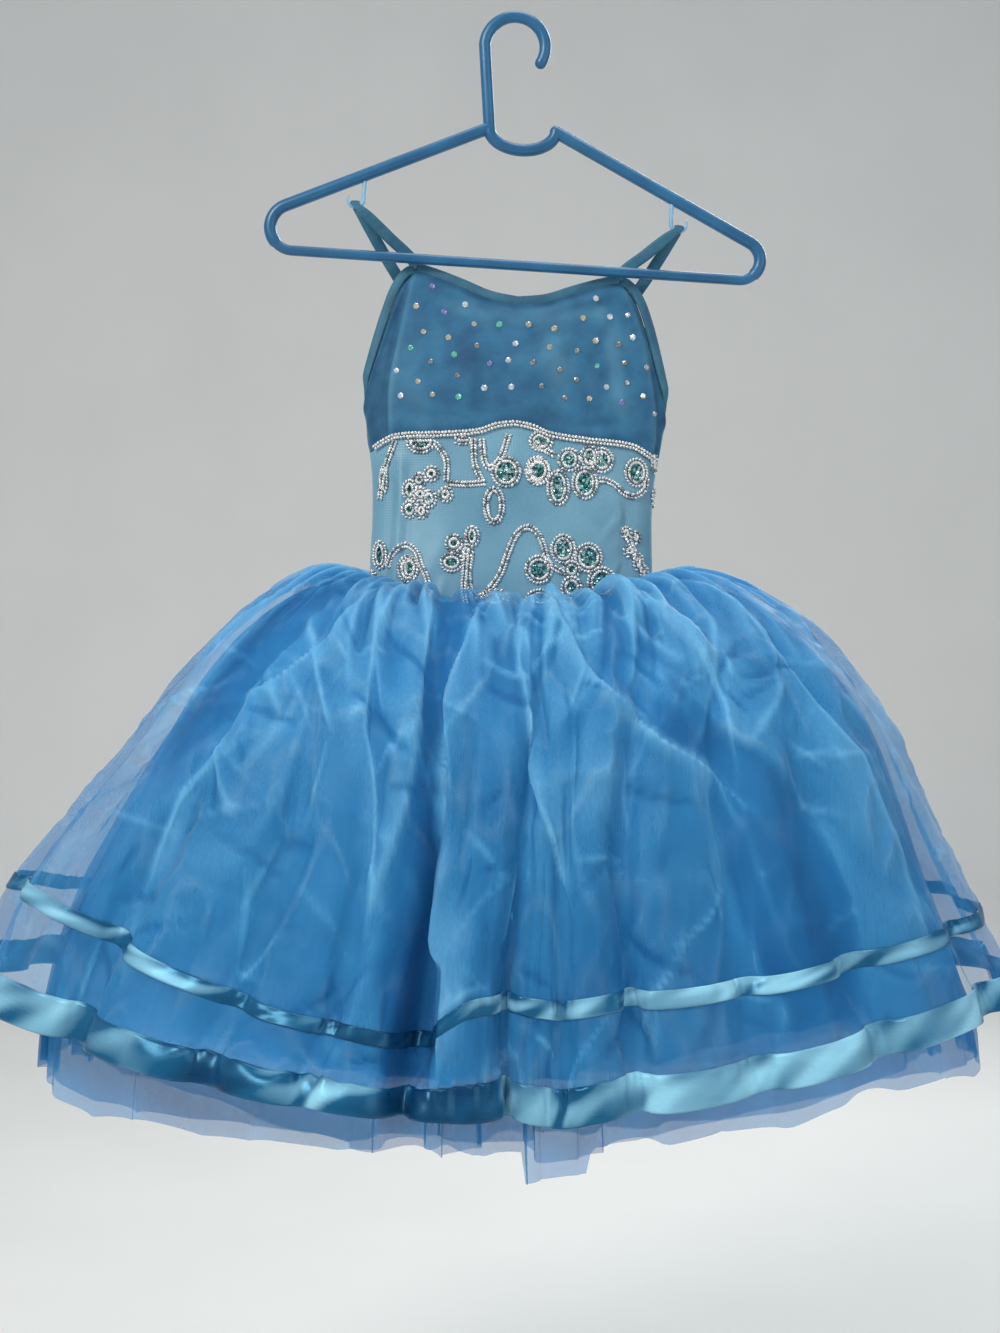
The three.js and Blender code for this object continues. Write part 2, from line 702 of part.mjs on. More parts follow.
// ---- Straps --------------------------------------------------------------------------------
// A band from inside the front corner, over the strap hook and down to the back corner.
// Its ends lie flat behind the bindings before it pulls away to the hook.
function strap(arm) {
  const hookX = HANGER.middle + arm.side * (HANGER.strapHookAt + HANGER.strapHookRadius);
  const hookZ = armZ(arm, HANGER.strapHookAt) - HANGER.strapHookDrop - 6 - HANGER.strapHookRadius + 4.9;
  const top = new THREE.Vector3(hookX, 0, hookZ).applyEuler(hanger.rotation);
  const inside = -VELVET / 2 - BINDING.depth / 2 - STRAP.depth / 2 - SEAM;
  const side = (angle, edge, cornerX) => {
    const low = bodicePoint(angle(arm.side * (cornerX - 3)), edge - 6, inside - 0.4);
    const high = bodicePoint(angle(arm.side * (cornerX + 3)), edge + BINDING.width + 4, inside - 0.4);
    return { low, high };
  };
  const front = side(frontAngle, heightOn(FRONT_EDGE, FRONT_CORNER_X), FRONT_CORNER_X);
  const back = side(backAngle, heightOn(BACK_EDGE, BACK_CORNER_X), BACK_CORNER_X);
  const run = ({ low, high }, sideY) => {
    const end = new THREE.Vector3(top.x, sideY * STRAP.loop, top.z - 3);
    const pass = new THREE.Vector3().lerpVectors(high, end, 0.42);
    pass.y = Math.max(pass.y, HANGER.barRadius + STRAP.depth / 2 + 1);
    const below = new THREE.Vector3().lerpVectors(pass, end, 0.7).setY(end.y);
    const rest = spaced(0, 1, 3).map((t) => new THREE.Vector3().lerpVectors(pass, below, t));
    return [low, high, ...rest, end];
  };
  const over = spaced(-60, 60, 4).map((turn) => {
    const angle = radians(turn);
    return new THREE.Vector3(top.x, STRAP.loop * Math.sin(angle), top.z - 3 + 3 * Math.cos(angle));
  });
  const line = [...run(front, -1), ...over, ...run(back, 1).reverse()];
  const middle = (line.length - 1) / 2;
  const onHook = new THREE.Vector3(1, 0, 0).applyEuler(hanger.rotation);
  const widthways = ({ low }) => {
    const pull = new THREE.Vector3().subVectors(top, low).setY(0).normalize();
    return new THREE.Vector3(pull.z, 0, -pull.x);
  };
  const away = (i) => ramp(Math.abs(i - middle), 2.4, 5);
  const across = (i) => {
    const wide = onHook.clone().lerp(widthways(i < middle ? front : back), away(i)).normalize();
    return [wide, new THREE.Vector3().crossVectors(directionAt(line, i), wide).normalize()];
  };
  const widthAt = (i) => THREE.MathUtils.lerp(STRAP.narrow, STRAP.width, away(i));
  return bar(line, across, (i) => flatSection(widthAt(i), STRAP.depth));
}
addPiece(tutu, "strap_left", strap(HANGER_SIDES[0]), BINDING_BLUE);
addPiece(tutu, "strap_right", strap(HANGER_SIDES[1]), BINDING_BLUE);

// ---- Beaded motifs -------------------------------------------------------------------------
// A point over the midriff, at its own place across and its height after the lean.
function onMidriff(x, z, out) {
  const { lean, centreX, halfX } = bodiceSection(z);
  return bodicePoint(frontAngle(((x - centreX) * 128) / halfX), z + lean * (x - centreX), out);
}

// Motifs stop short of the bead trim above them and the skirt's seam below.
const MOTIF_MARGIN = 4.2;
const SIDE_LIFT = 1.9; // more clearance where the midriff turns towards the side seams
const motifGap = (x) => APPLIQUE_GAP + SIDE_LIFT * ramp(Math.abs(x), 78, 108);
const leanAt = (x, z) => bodiceSection(z).lean * (x - bodiceSection(z).centreX);
const keptHeight = (x, z) => {
  const top = bustSeam(x) - leanAt(x, z) - MOTIF_MARGIN;
  const waist = -483 - 16 * Math.abs(Math.cos(frontAngle(x))) ** 3.2;
  return THREE.MathUtils.clamp(z, waist + MOTIF_MARGIN, top);
};

// A low pad over an oval.
function petal([x, z, halfWidth, halfHeight]) {
  const ring = (share, out) =>
    Array.from({ length: 6 }, (_, k) => {
      const angle = (2 * Math.PI * k) / 6;
      const across = x + share * halfWidth * 1.06 * Math.sin(angle);
      return onMidriff(across, keptHeight(across, z + share * halfHeight * 1.06 * Math.cos(angle)), out);
    });
  return loft([ring(1, motifGap(x)), ring(0.78, motifGap(x) + APPLIQUE_HEIGHT)], false);
}

function stem(points) {
  const curve = new THREE.CatmullRomCurve3(points.map(([x, z]) => new THREE.Vector3(x, 0, z)));
  const steps = Math.max(Math.round(curve.getLength() / 11), 1);
  const flat = curve.getSpacedPoints(steps);
  flat.forEach((point) => {
    point.z = keptHeight(point.x, point.z);
  });
  const lift = ({ x }) => motifGap(x) + APPLIQUE_HEIGHT / 2;
  const line = flat.map((p) => onMidriff(p.x, p.z, lift(p)));
  const across = (i) => {
    const out = onMidriff(flat[i].x, flat[i].z, lift(flat[i]) + 1).sub(line[i]).normalize();
    return [new THREE.Vector3().crossVectors(directionAt(line, i), out).normalize(), out];
  };
  return bar(line, across, () => flatSection(STEM_WIDTH, APPLIQUE_HEIGHT - 0.2));
}
for (const [name, { petals, stems }] of Object.entries(MOTIFS)) {
  addPiece(tutu, name, fused([...petals.map(petal), ...stems.map(stem)]), SILVER_BEADS);
}

// ---- Skirt ---------------------------------------------------------------------------------
const skirtSection = (along) =>
  Object.fromEntries(
    ["halfX", "sideZ", "frontY", "frontZ", "backY", "backZ", "centreX"].map((name) => [
      name,
      valueAt(SKIRT, "along", name, along),
    ]),
  );

// The unfolded outer form of the skirt, where round is degrees round the waist.
function skirtForm(round, along) {
  const waist = radians(round);
  const angle = waist - GRAIN_SPREAD * ramp(along, 0, 300) * Math.sin(2 * waist);
  const section = skirtSection(along);
  const boxiness = THREE.MathUtils.lerp(BOXINESS, SKIRT_BOXINESS, ramp(along, 0, 120));
  const point = ovalPoint(angle, section, boxiness);
  const facing = Math.abs(Math.cos(angle)) ** SIDE_HOLD;
  point.z = THREE.MathUtils.lerp(section.sideZ, Math.cos(angle) > 0 ? section.frontZ : section.backZ, facing);
  return point;
}

// The form's outward direction, and its level direction round the skirt.
function skirtFrame(round, along) {
  const around = skirtForm(round + 0.5, along).sub(skirtForm(round - 0.5, along));
  const down = skirtForm(round, along + 2).sub(skirtForm(round, Math.max(along - 2, 0)));
  const out = new THREE.Vector3().crossVectors(down, around).normalize();
  return { out, around: around.multiplyScalar(1) };
}

const nearTurn = (degrees) => THREE.MathUtils.euclideanModulo(degrees + 180, 360) - 180;

// Where a layer's cloth lies, moved in and folded. around is mm a degree, so a share of it is an angle.
function skirtPoint(round, along, layer) {
  const point = skirtForm(round, along);
  const { out, around } = skirtFrame(round, along);
  const share = along / HEM;
  const grown = ramp(along, 10, 0.85 * HEM);
  let depth = 0;
  let close = 0;
  let drop = 0;
  let ripple = 0;
  for (const fold of FOLDS) {
    const q = nearTurn(round - fold.at) / fold.half;
    const near = Math.exp(-q * q);
    depth += fold.depth * near;
    close -= 2.4 * PINCH * fold.half * q * q * q * near;
    drop += fold.drop * Math.exp(-q * q * 0.45);
    ripple += fold.hem * Math.exp(-q * q * 0.45);
  }
  const sideways = Math.sin(radians(round)) ** 2;
  const folding = 1 - layer.flatter * sideways * Math.min(share, 1);
  const gather = GATHER_DEPTH * ramp(along, 2, 22) * (1 - ramp(along, 40, 190));
  const midRidge = 0.5 - 0.5 * Math.cos(2 * Math.PI * foldPhase(round));
  const sideInset = Math.sin(radians(round)) < 0 ? layer.leftInset : layer.rightInset;
  const inset =
    layer.waistInset + (layer.inset + sideInset * sideways * share) * ramp(share, 0, 1.05) ** 1.1;
  const level = new THREE.Vector3(out.x, out.y, 0).normalize();
  point.addScaledVector(out, -inset);
  point.addScaledVector(level, -depth * folding * grown - gather * midRidge);
  point.addScaledVector(around, close * folding * grown);
  point.z -= drop * ramp(share, 0.35, 1);
  const overlay = layer === LAYERS.overskirt ? 1 : 0.4;
  const sag = valueAt(SAG, "round", "down", nearTurn(round)) * ramp(share, 0.4, 0.82);
  const flare = valueAt(SAG, "round", "out", nearTurn(round)) * ramp(share, 0.78, 1);
  point.z -= overlay * (sag * (1 - ramp(share, 0.82, 1)) - 0.25 * flare);
  point.addScaledVector(level, overlay * flare);
  point.z -= valueAt(SAG, "round", "low", nearTurn(round)) * ramp(share, 0.7, 1);
  point.z -= layer.wave * ripple * ramp(share, 0.6, 1);
  return point;
}

// 0 at a fold and 1 at the next one round.
function foldPhase(round) {
  const turn = nearTurn(round);
  let i = FOLDS.findIndex((fold) => fold.at > turn);
  if (i < 0) i = 0;
  const after = FOLDS[i];
  const before = FOLDS[(i + FOLDS.length - 1) % FOLDS.length];
  const gap = THREE.MathUtils.euclideanModulo(after.at - before.at, 360);
  return THREE.MathUtils.euclideanModulo(turn - before.at, 360) / gap;
}

// Columns round the skirt: three to five over each fold and one on the ridge after it.
const ROUND = FOLDS.flatMap((fold, i) => {
  const apart = (a, b) => THREE.MathUtils.euclideanModulo(b.at - a.at, 360);
  const before = apart(FOLDS[(i + FOLDS.length - 1) % FOLDS.length], fold);
  const after = apart(fold, FOLDS[(i + 1) % FOLDS.length]);
  const behind = Math.abs(fold.at) > 125;
  const shallow = behind ? [-1.1, 0, 1.1] : [-1.4, -0.5, 0.5, 1.4];
  const steps = fold.depth > 30 ? [-1.5, -0.8, 0, 0.8, 1.5] : shallow;
  const columns = steps.map((step) => {
    const most = 0.4 * (step < 0 ? before : after);
    return fold.at + Math.sign(step) * Math.min(Math.abs(step) * fold.half, most);
  });
  return [...columns, fold.at + after / 2];
})
  .concat(PANEL_START)
  .sort((a, b) => a - b);

// A place on a layer's cloth, moved out along its own normal.
function clothPoint(layer, round, along, distance) {
  const point = skirtPoint(round, along, layer);
  const around = skirtPoint(round + 0.4, along, layer).sub(skirtPoint(round - 0.4, along, layer));
  const down = skirtPoint(round, along + 3, layer).sub(skirtPoint(round, Math.max(along - 3, 0), layer));
  return point.addScaledVector(new THREE.Vector3().crossVectors(down, around).normalize(), distance);
}

const rowsAt = (layer, round) => [
  ...layer.rows,
  straightAt(layer.hem, "round", "along", nearTurn(round)),
];

// A whole layer of the skirt, through its rows.
function skirtLayer(layer) {
  return loft(
    ROUND.map((round) => {
      const rows = rowsAt(layer, round);
      return [
        ...rows.map((along) => clothPoint(layer, round, along, 0)),
        ...rows.map((along) => clothPoint(layer, round, along, -SHEER)).reverse(),
      ];
    }),
    true,
    true,
  );
}

// A ribbon round a layer, between two of its rows, moved out from the straight cloth there.
function skirtRibbon(layer, { from, to }) {
  const offset = (round, along, distance) => {
    const rows = rowsAt(layer, round);
    const above = Math.min(rows.findLastIndex((row) => row <= from), rows.length - 2);
    const [top, low] = [rows[above], rows[above + 1]];
    return clothPoint(layer, round, top, distance).lerp(
      clothPoint(layer, round, low, distance),
      (along - top) / (low - top),
    );
  };
  return loft(
    ROUND.map((round) => [
      ...[from, to].map((along) => offset(round, along, RIBBON_GAP + RIBBON)),
      ...[to, from].map((along) => offset(round, along, RIBBON_GAP)),
    ]),
    true,
    true,
  );
}

addPiece(tutu, "overskirt", skirtLayer(LAYERS.overskirt), ORGANZA);
addPiece(tutu, "tulle_outer", skirtLayer(LAYERS.tulle_outer), TULLE);
addPiece(tutu, "tulle_inner", skirtLayer(LAYERS.tulle_inner), TULLE);
addPiece(tutu, "ribbon_narrow", skirtRibbon(LAYERS.overskirt, NARROW_RIBBON), RIBBON_SATIN);
addPiece(tutu, "ribbon_wide", skirtRibbon(LAYERS.overskirt, WIDE_RIBBON), RIBBON_SATIN);

export default tutu;
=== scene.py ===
import bpy, math
import numpy as np
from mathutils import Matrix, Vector


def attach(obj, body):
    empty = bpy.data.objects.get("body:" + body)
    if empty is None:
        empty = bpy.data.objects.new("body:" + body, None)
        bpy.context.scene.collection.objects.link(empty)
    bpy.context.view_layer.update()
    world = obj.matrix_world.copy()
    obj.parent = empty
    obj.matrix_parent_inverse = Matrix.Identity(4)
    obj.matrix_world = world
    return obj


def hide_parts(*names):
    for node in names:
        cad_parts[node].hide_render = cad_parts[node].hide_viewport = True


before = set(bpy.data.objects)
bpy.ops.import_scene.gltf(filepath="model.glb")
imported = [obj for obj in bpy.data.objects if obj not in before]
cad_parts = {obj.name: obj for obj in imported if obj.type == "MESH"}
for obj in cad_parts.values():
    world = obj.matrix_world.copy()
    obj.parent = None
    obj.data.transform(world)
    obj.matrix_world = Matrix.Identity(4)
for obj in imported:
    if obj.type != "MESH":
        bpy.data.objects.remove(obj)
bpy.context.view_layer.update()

MM = 0.001
TAU = 2 * math.pi
THREAD_SCALE = (620, 620, 24)  # of the sheer cloths' threads along x, y and z
ROW_SPREAD = 1.15  # the skirt's rows of points stand closer near the waist
ORGANZA_GRID = (780, 118)  # points round and along
ORGANZA_HEM = 485.5

# ---------------------------------------------------------------- driving tables (mm), as in the part
BOXINESS = 2.5
FLAT_HALF = 128  # from the bodice's middle to its side seam, laid flat
SIDE_TOP = -322  # where the two neck edges meet at the side
TILT = math.radians(3.8)  # the hanger's
BODICE = [  # z, halfX, frontY, backY, centreX, lean
    (-512, 120, -31, 43, -5, 0), (-480, 120, -31, 43, -5, 0.005), (-430, 118, -27, 42, -4, 0.02),
    (-385, 119, -23, 44, -3, 0.035), (-345, 125, -19, 46, -2, 0.045), (-311, 128, -14, 45, -1, 0.05),
    (-275, 128, -7, 42, 0, 0.055), (-240, 128, 1, 39, 1, 0.059), (-200, 128, 9, 36, 1, 0.059)]
FRONT_EDGE = [
    (0, -238), (25, -234), (50, -224.5), (75, -216), (85, -214), (93, -218), (101, -231), (110, -258),
    (118, -286), (125, -309), (FLAT_HALF, SIDE_TOP)]
BACK_EDGE = [
    (0, -286), (30, -281), (60, -266), (80, -248), (92, -238), (99, -243), (106, -256), (112, -270),
    (119, -291), (125, -311), (FLAT_HALF, SIDE_TOP)]
BUST_SEAM = [(0, -339), (15, -341.5), (30, -347), (60, -350.5), (100, -353), (113, -358), (125, -365)]
BACK_SEAM = -365.0
SKIRT = [  # along, halfX, sideZ, frontY, frontZ, backY, backZ, centreX
    (0, 121, -483, -32, -499, 44, -490, -5), (22, 141, -466, -49, -487, 58, -480, -4),
    (61, 180, -470, -86, -491, 84, -489, -1), (109, 225, -495, -126, -511, 110, -516, 1),
    (164, 267, -534, -166, -549, 133, -562, 2), (226, 304, -582, -199, -603, 149, -622, 1),
    (292, 337, -634, -219, -668, 159, -687, -6), (348, 366, -679, -229, -725, 164, -744, -12),
    (396, 391, -718, -235, -774, 167, -793, -16), (434, 409, -749, -240, -813, 169, -833, -18),
    (487, 429, -795, -246, -864, 171, -886, -19), (540, 440, -846, -249, -917, 172, -939, -19),
    (600, 446, -905, -250, -977, 172, -999, -19)]
FOLDS = [  # at, half width, depth, drop, hem
    (-171, 5.0, 16, 2, 4), (-154, 4.5, 19, 3, -5), (-136, 5.0, 15, 1, 6), (-118, 4.6, 18, 2, -2),
    (-100, 4.8, 15, 2, 3), (-81, 4.6, 16, 1, -6), (-62, 4.2, 24, 3, 2), (-46, 4.0, 14, 1, 8),
    (-34, 3.6, 11, 2, -3), (-20, 4.6, 40, 8, -4), (3, 4.4, 19, -3, 15), (16, 3.8, 8, 5, -8),
    (29, 4.0, 17, -2, 3), (45, 4.4, 15, 0, 6), (59, 4.2, 19, 2, -7), (75, 4.6, 16, 2, 5),
    (93, 4.8, 17, 1, -3), (112, 5.0, 14, 2, 4), (131, 4.8, 18, 3, -5), (150, 5.0, 15, 1, 5),
    (170, 4.6, 17, 2, 0)]
SAG = [  # round, down, out, low
    (-180, 0, 0, 0), (-110, 0, 0, 0), (-78, -16, 0, 9), (-64, -2, 8, 8), (-48, 19, 20, 5), (-30, 27, 26, 0),
    (-15, 24, 20, -2), (-8, 3, 6, 0), (0, 0, 0, 0), (30, 2, 0, 5), (55, 10, 0, 11), (80, 12, 0, 13),
    (110, 0, 0, 0), (180, 0, 0, 0)]
TULLE_OUTER_HEM = [
    (-180, 518), (-110, 522), (-84, 552), (-66, 556), (-50, 532), (-30, 518), (-12, 508), (4.9, 508),
    (5.1, 530), (21.4, 526), (22.0, 508), (45, 514), (64, 524), (80, 540), (96, 532), (120, 516),
    (180, 518)]
TULLE_INNER_HEM = [(-180, 512), (-90, 530), (-60, 520), (0, 514), (60, 516), (90, 524), (180, 512)]
HEM = 487.0
LAYERS = {  # waist inset, inset, left inset, right inset, wave, overlay, flatter at the sides
    "overskirt": (0, 0, 0, 0, 0, 1.0, 0),
    "tulle_outer": (1.9, 11, 44, 20, 0.6, 0.4, 0.35),
    "tulle_inner": (3.8, 24, 60, 38, -0.6, 0.4, 0.6)}


# ---------------------------------------------------------------- curve and noise helpers
def hermite(table, column, x):
    """A table's column at x, smooth through its rows; the first column is the key."""
    t = np.asarray(table, float)
    if t[0, 0] > t[-1, 0]:
        t = t[::-1]
    k, v = t[:, 0], t[:, column]
    x = np.clip(np.asarray(x, float), k[0], k[-1])
    i = np.clip(np.searchsorted(k, x, side="right") - 1, 0, len(k) - 2)
    slope = np.empty(len(k))
    slope[1:-1] = (v[2:] - v[:-2]) / (k[2:] - k[:-2])
    slope[0], slope[-1] = (v[1] - v[0]) / (k[1] - k[0]), (v[-1] - v[-2]) / (k[-1] - k[-2])
    span = k[i + 1] - k[i]
    u = (x - k[i]) / span
    return (v[i] * (2 * u**3 - 3 * u**2 + 1) + slope[i] * span * (u**3 - 2 * u**2 + u)
            + v[i + 1] * (3 * u**2 - 2 * u**3) + slope[i + 1] * span * (u**3 - u**2))


def ramp(x, a, b):
    u = np.clip((np.asarray(x, float) - a) / (b - a), 0, 1)
    return u * u * (3 - 2 * u)


def value_noise(x, y, seed, wrap=None):
    """Smooth noise from 0 to 1 on a unit lattice; wrap is the number of cells after which x repeats."""
    x, y = np.broadcast_arrays(np.asarray(x, float), np.asarray(y, float))
    table = np.random.default_rng(seed).random((256, 256))
    i, j = np.floor(x).astype(int), np.floor(y).astype(int)
    u, v = x - i, y - j
    u, v = u * u * u * (u * (6 * u - 15) + 10), v * v * v * (v * (6 * v - 15) + 10)
    i0, i1 = (i, i + 1) if wrap is None else (i % wrap, (i + 1) % wrap)
    i0, i1, j0, j1 = i0 % 256, i1 % 256, j % 256, (j + 1) % 256
    return ((table[i0, j0] * (1 - u) + table[i1, j0] * u) * (1 - v)
            + (table[i0, j1] * (1 - u) + table[i1, j1] * u) * v)


def ridges(x, y, seed, sharp, wrap=None):
    return (1 - np.abs(2 * value_noise(x, y, seed, wrap) - 1)) ** sharp


def unit(v):
    return v / np.maximum(np.linalg.norm(v, axis=-1, keepdims=True), 1e-12)


# ---------------------------------------------------------------- the bodice's and skirt's forms
def oval(angle, half_x, front_y, back_y, centre_x, boxiness):
    bow = lambda v: np.sign(v) * np.abs(v) ** (2 / boxiness)
    middle = (front_y + back_y) / 2
    depth = np.where(np.cos(angle) > 0, middle - front_y, back_y - middle)
    return centre_x + half_x * bow(np.sin(angle)), middle - depth * bow(np.cos(angle))


def bodice(angle, z, out=0.0):
    angle, z, out = np.broadcast_arrays(*(np.asarray(q, float) for q in (angle, z, out)))
    s = [hermite(BODICE, c, z) for c in range(1, 6)]
    at = lambda a: np.stack(oval(a, s[0], s[1], s[2], s[3], BOXINESS), -1)
    p, along = at(angle), at(angle + 0.01) - at(angle - 0.01)
    n = unit(np.stack([along[..., 1], -along[..., 0]], -1))
    p = p + n * out[..., None]
    return np.stack([p[..., 0], p[..., 1], z - s[4] * (p[..., 0] - s[3])], -1)


def front_angle(x):
    return np.sign(x) * np.arcsin(np.minimum(np.abs(np.asarray(x, float)) / FLAT_HALF, 1) ** (BOXINESS / 2))


def back_angle(x):
    return math.pi - front_angle(x)


def edge(table, x):
    return hermite(table, 1, np.abs(x))


def turn(round_):
    return (np.asarray(round_, float) + 180) % 360 - 180


def skirt_form(round_, along):
    waist = np.radians(round_)
    angle = waist - 0.3 * ramp(along, 0, 300) * np.sin(2 * waist)
    columns = [hermite(SKIRT, c, along) for c in range(1, 8)]
    half_x, side_z, front_y, front_z, back_y, back_z, centre_x = columns
    boxiness = BOXINESS + (1.97 - BOXINESS) * ramp(along, 0, 120)
    x, y = oval(angle, half_x, front_y, back_y, centre_x, boxiness)
    facing = np.abs(np.cos(angle)) ** 3.2
    z = side_z + (np.where(np.cos(angle) > 0, front_z, back_z) - side_z) * facing
    return np.stack([x, y, z], -1)


def fold_phase(round_):
    at = np.array([f[0] for f in FOLDS], float)
    r = turn(round_)
    i = np.searchsorted(at, r, side="right")
    before, after = at[(i - 1) % len(at)], at[i % len(at)]
    return ((r - before) % 360) / ((after - before) % 360)


def skirt(round_, along, layer):
    waist_in, inset, left, right, wave, overlay, flatter = LAYERS[layer]
    round_, along = np.broadcast_arrays(np.asarray(round_, float), np.asarray(along, float))
    p = skirt_form(round_, along)
    around = skirt_form(round_ + 0.5, along) - skirt_form(round_ - 0.5, along)
    down = skirt_form(round_, along + 2) - skirt_form(round_, np.maximum(along - 2, 0))
    out = unit(np.cross(down, around))
    level = unit(out * np.array([1, 1, 0]))
    share, grown = along / HEM, ramp(along, 10, 0.85 * HEM)
    depth, close, drop, ripple = (np.zeros(round_.shape) for _ in range(4))
    for at, half, deep, low, hem in FOLDS:
        q = turn(round_ - at) / half
        near = np.exp(-q * q)
        depth += deep * near
        close -= 2.4 * 0.35 * half * q**3 * near
        drop += low * np.exp(-q * q * 0.45)
        ripple += hem * np.exp(-q * q * 0.45)
    sideways = np.sin(np.radians(round_)) ** 2
    folding = 1 - flatter * sideways * np.minimum(share, 1)
    gather = 2.6 * ramp(along, 2, 22) * (1 - ramp(along, 40, 190))
    ridge = 0.5 - 0.5 * np.cos(TAU * fold_phase(round_))
    side = np.where(np.sin(np.radians(round_)) < 0, left, right)
    inward = waist_in + (inset + side * sideways * share) * ramp(share, 0, 1.05) ** 1.1
    r = turn(round_)
    sag = hermite(SAG, 1, r) * ramp(share, 0.4, 0.82) * (1 - ramp(share, 0.82, 1))
    flare = hermite(SAG, 2, r) * ramp(share, 0.78, 1)
    swell = -depth * folding * grown - gather * ridge + overlay * flare
    p = p - out * inward[..., None] + level * swell[..., None]
    p = p + around * (close * folding * grown)[..., None]
    p[..., 2] -= (drop * ramp(share, 0.35, 1) + overlay * (sag - 0.25 * flare)
                  + hermite(SAG, 3, r) * ramp(share, 0.7, 1) + wave * ripple * ramp(share, 0.6, 1))
    return p


# ---------------------------------------------------------------- materials
def material(name, colour, rough, **shader):
    """A material and its shader node, whose further inputs are named with _ for a space."""
    m = bpy.data.materials.new(name)
    m.use_nodes = True
    b = m.node_tree.nodes["Principled BSDF"]
    b.inputs["Base Color"].default_value = (*colour, 1)
    b.inputs["Roughness"].default_value = rough
    for key, value in shader.items():
        b.inputs[key.replace("_", " ")].default_value = value
    return m, b


def feed(socket, value):
    """Links a socket to another node's output, or sets its value."""
    if isinstance(value, bpy.types.NodeSocket):
        socket.id_data.links.new(value, socket)
    else:
        socket.default_value = value


def add_node(m, kind, inputs, **settings):
    """A new node with its inputs fed, after its settings have chosen which it has."""
    made = m.node_tree.nodes.new("ShaderNode" + kind)
    for key, value in settings.items():
        setattr(made, key, value)
    for key, value in inputs.items():
        feed(made.inputs[key], value)
    return made


def position(m, scale=(1, 1, 1), rotation=(0, 0, 0)):
    place = add_node(m, "TexCoord", {}).outputs["Object"]
    return add_node(m, "Mapping", {"Vector": place, "Scale": scale, "Rotation": rotation}).outputs["Vector"]


def noise(m, vector, scale, detail):
    return add_node(m, "TexNoise", {"Vector": vector, "Scale": scale, "Detail": detail}).outputs["Fac"]


def mapped(m, value, low, high, start=0.0, stop=1.0):
    """What runs from start to stop, made to run from low to high."""
    inputs = {"Value": value, "From Min": start, "From Max": stop, "To Min": low, "To Max": high}
    return add_node(m, "MapRange", inputs).outputs["Result"]


def mixed_colour(m, share, a, b):
    mix = add_node(m, "Mix", {"Factor": share}, data_type="RGBA")
    for socket, colour in zip([q for q in mix.inputs if q.type == "RGBA"], (a, b)):
        feed(socket, colour)
    return [q for q in mix.outputs if q.type == "RGBA"][0]


def mottled(m, b, dark, light, scale, vector, detail=4, low=0.35, high=0.65):
    """Colour that drifts between two shades. Gives the drift and the colour."""
    fac = noise(m, vector, scale, detail)
    shades = add_node(m, "ValToRGB", {"Fac": fac})
    for stop, place, colour in zip(shades.color_ramp.elements, (low, high), (dark, light)):
        stop.position, stop.color = place, (*colour, 1)
    feed(b.inputs["Base Color"], shades.outputs["Color"])
    return fac, shades.outputs["Color"]


def weave(m, vector, pitch):
    """Crossing threads, pitch in metres."""
    inputs = {"Vector": vector, "Scale": 1 / pitch / 20 * math.pi, "Distortion": 0.6}
    waves = [add_node(m, "TexWave", inputs, bands_direction=axis).outputs["Fac"] for axis in "XZ"]
    return add_node(m, "Math", dict(enumerate(waves)), operation="MAXIMUM").outputs[0]


def bumped(m, height, strength, distance):
    inputs = {"Strength": strength, "Distance": distance, "Height": height}
    return add_node(m, "Bump", inputs).outputs["Normal"]


def charted_tone_and_shading(m, b, deep, mid, pale, share, thin, thick):
    """The mesh's own chart of tone and painted shading, from painted shade (0) to painted highlight (1):
    colour, and cover where the cloth is sheer.
    """
    tone_and_shading = add_node(m, "Attribute", {}, attribute_name="tone_and_shading").outputs["Fac"]
    shades = add_node(m, "ValToRGB", {"Fac": tone_and_shading})
    ends = shades.color_ramp.elements
    ends[0].color, ends[1].color = (*deep, 1), (*pale, 1)
    ends.new(0.5).color = (*mid, 1)
    colour = mixed_colour(m, share, b.inputs["Base Color"].links[0].from_socket, shades.outputs["Color"])
    if thin < 1:
        threads = mapped(m, noise(m, position(m, THREAD_SCALE), 1, 0), 0.93, 1.07, 0.25, 0.75)
        lit = add_node(m, "VectorMath", {"Vector": colour, "Scale": threads}, operation="SCALE")
        colour = lit.outputs["Vector"]
        feed(b.inputs["Alpha"], mapped(m, tone_and_shading, thin, thick))
    feed(b.inputs["Base Color"], colour)


def crumpled(m, b, colour, scale, depth, pale, share):
    """Crisp crossing creases: a bump, and a painted highlight in the pale colour along each ridge."""
    inputs = {"Vector": position(m, (1, 1, 0.42), (0.35, 0.5, 0.3)), "Scale": scale, "Detail": 1.5,
              "Roughness": 0.45, "Lacunarity": 2.1, "Offset": 0.9, "Gain": 1.6}
    height = add_node(m, "TexNoise", inputs, noise_type="RIDGED_MULTIFRACTAL").outputs["Fac"]
    line = mapped(m, height, 0.0, share, 0.80, 1.15)
    feed(b.inputs["Base Color"], mixed_colour(m, line, colour, (*pale, 1)))
    return bumped(m, height, 0.75, depth)


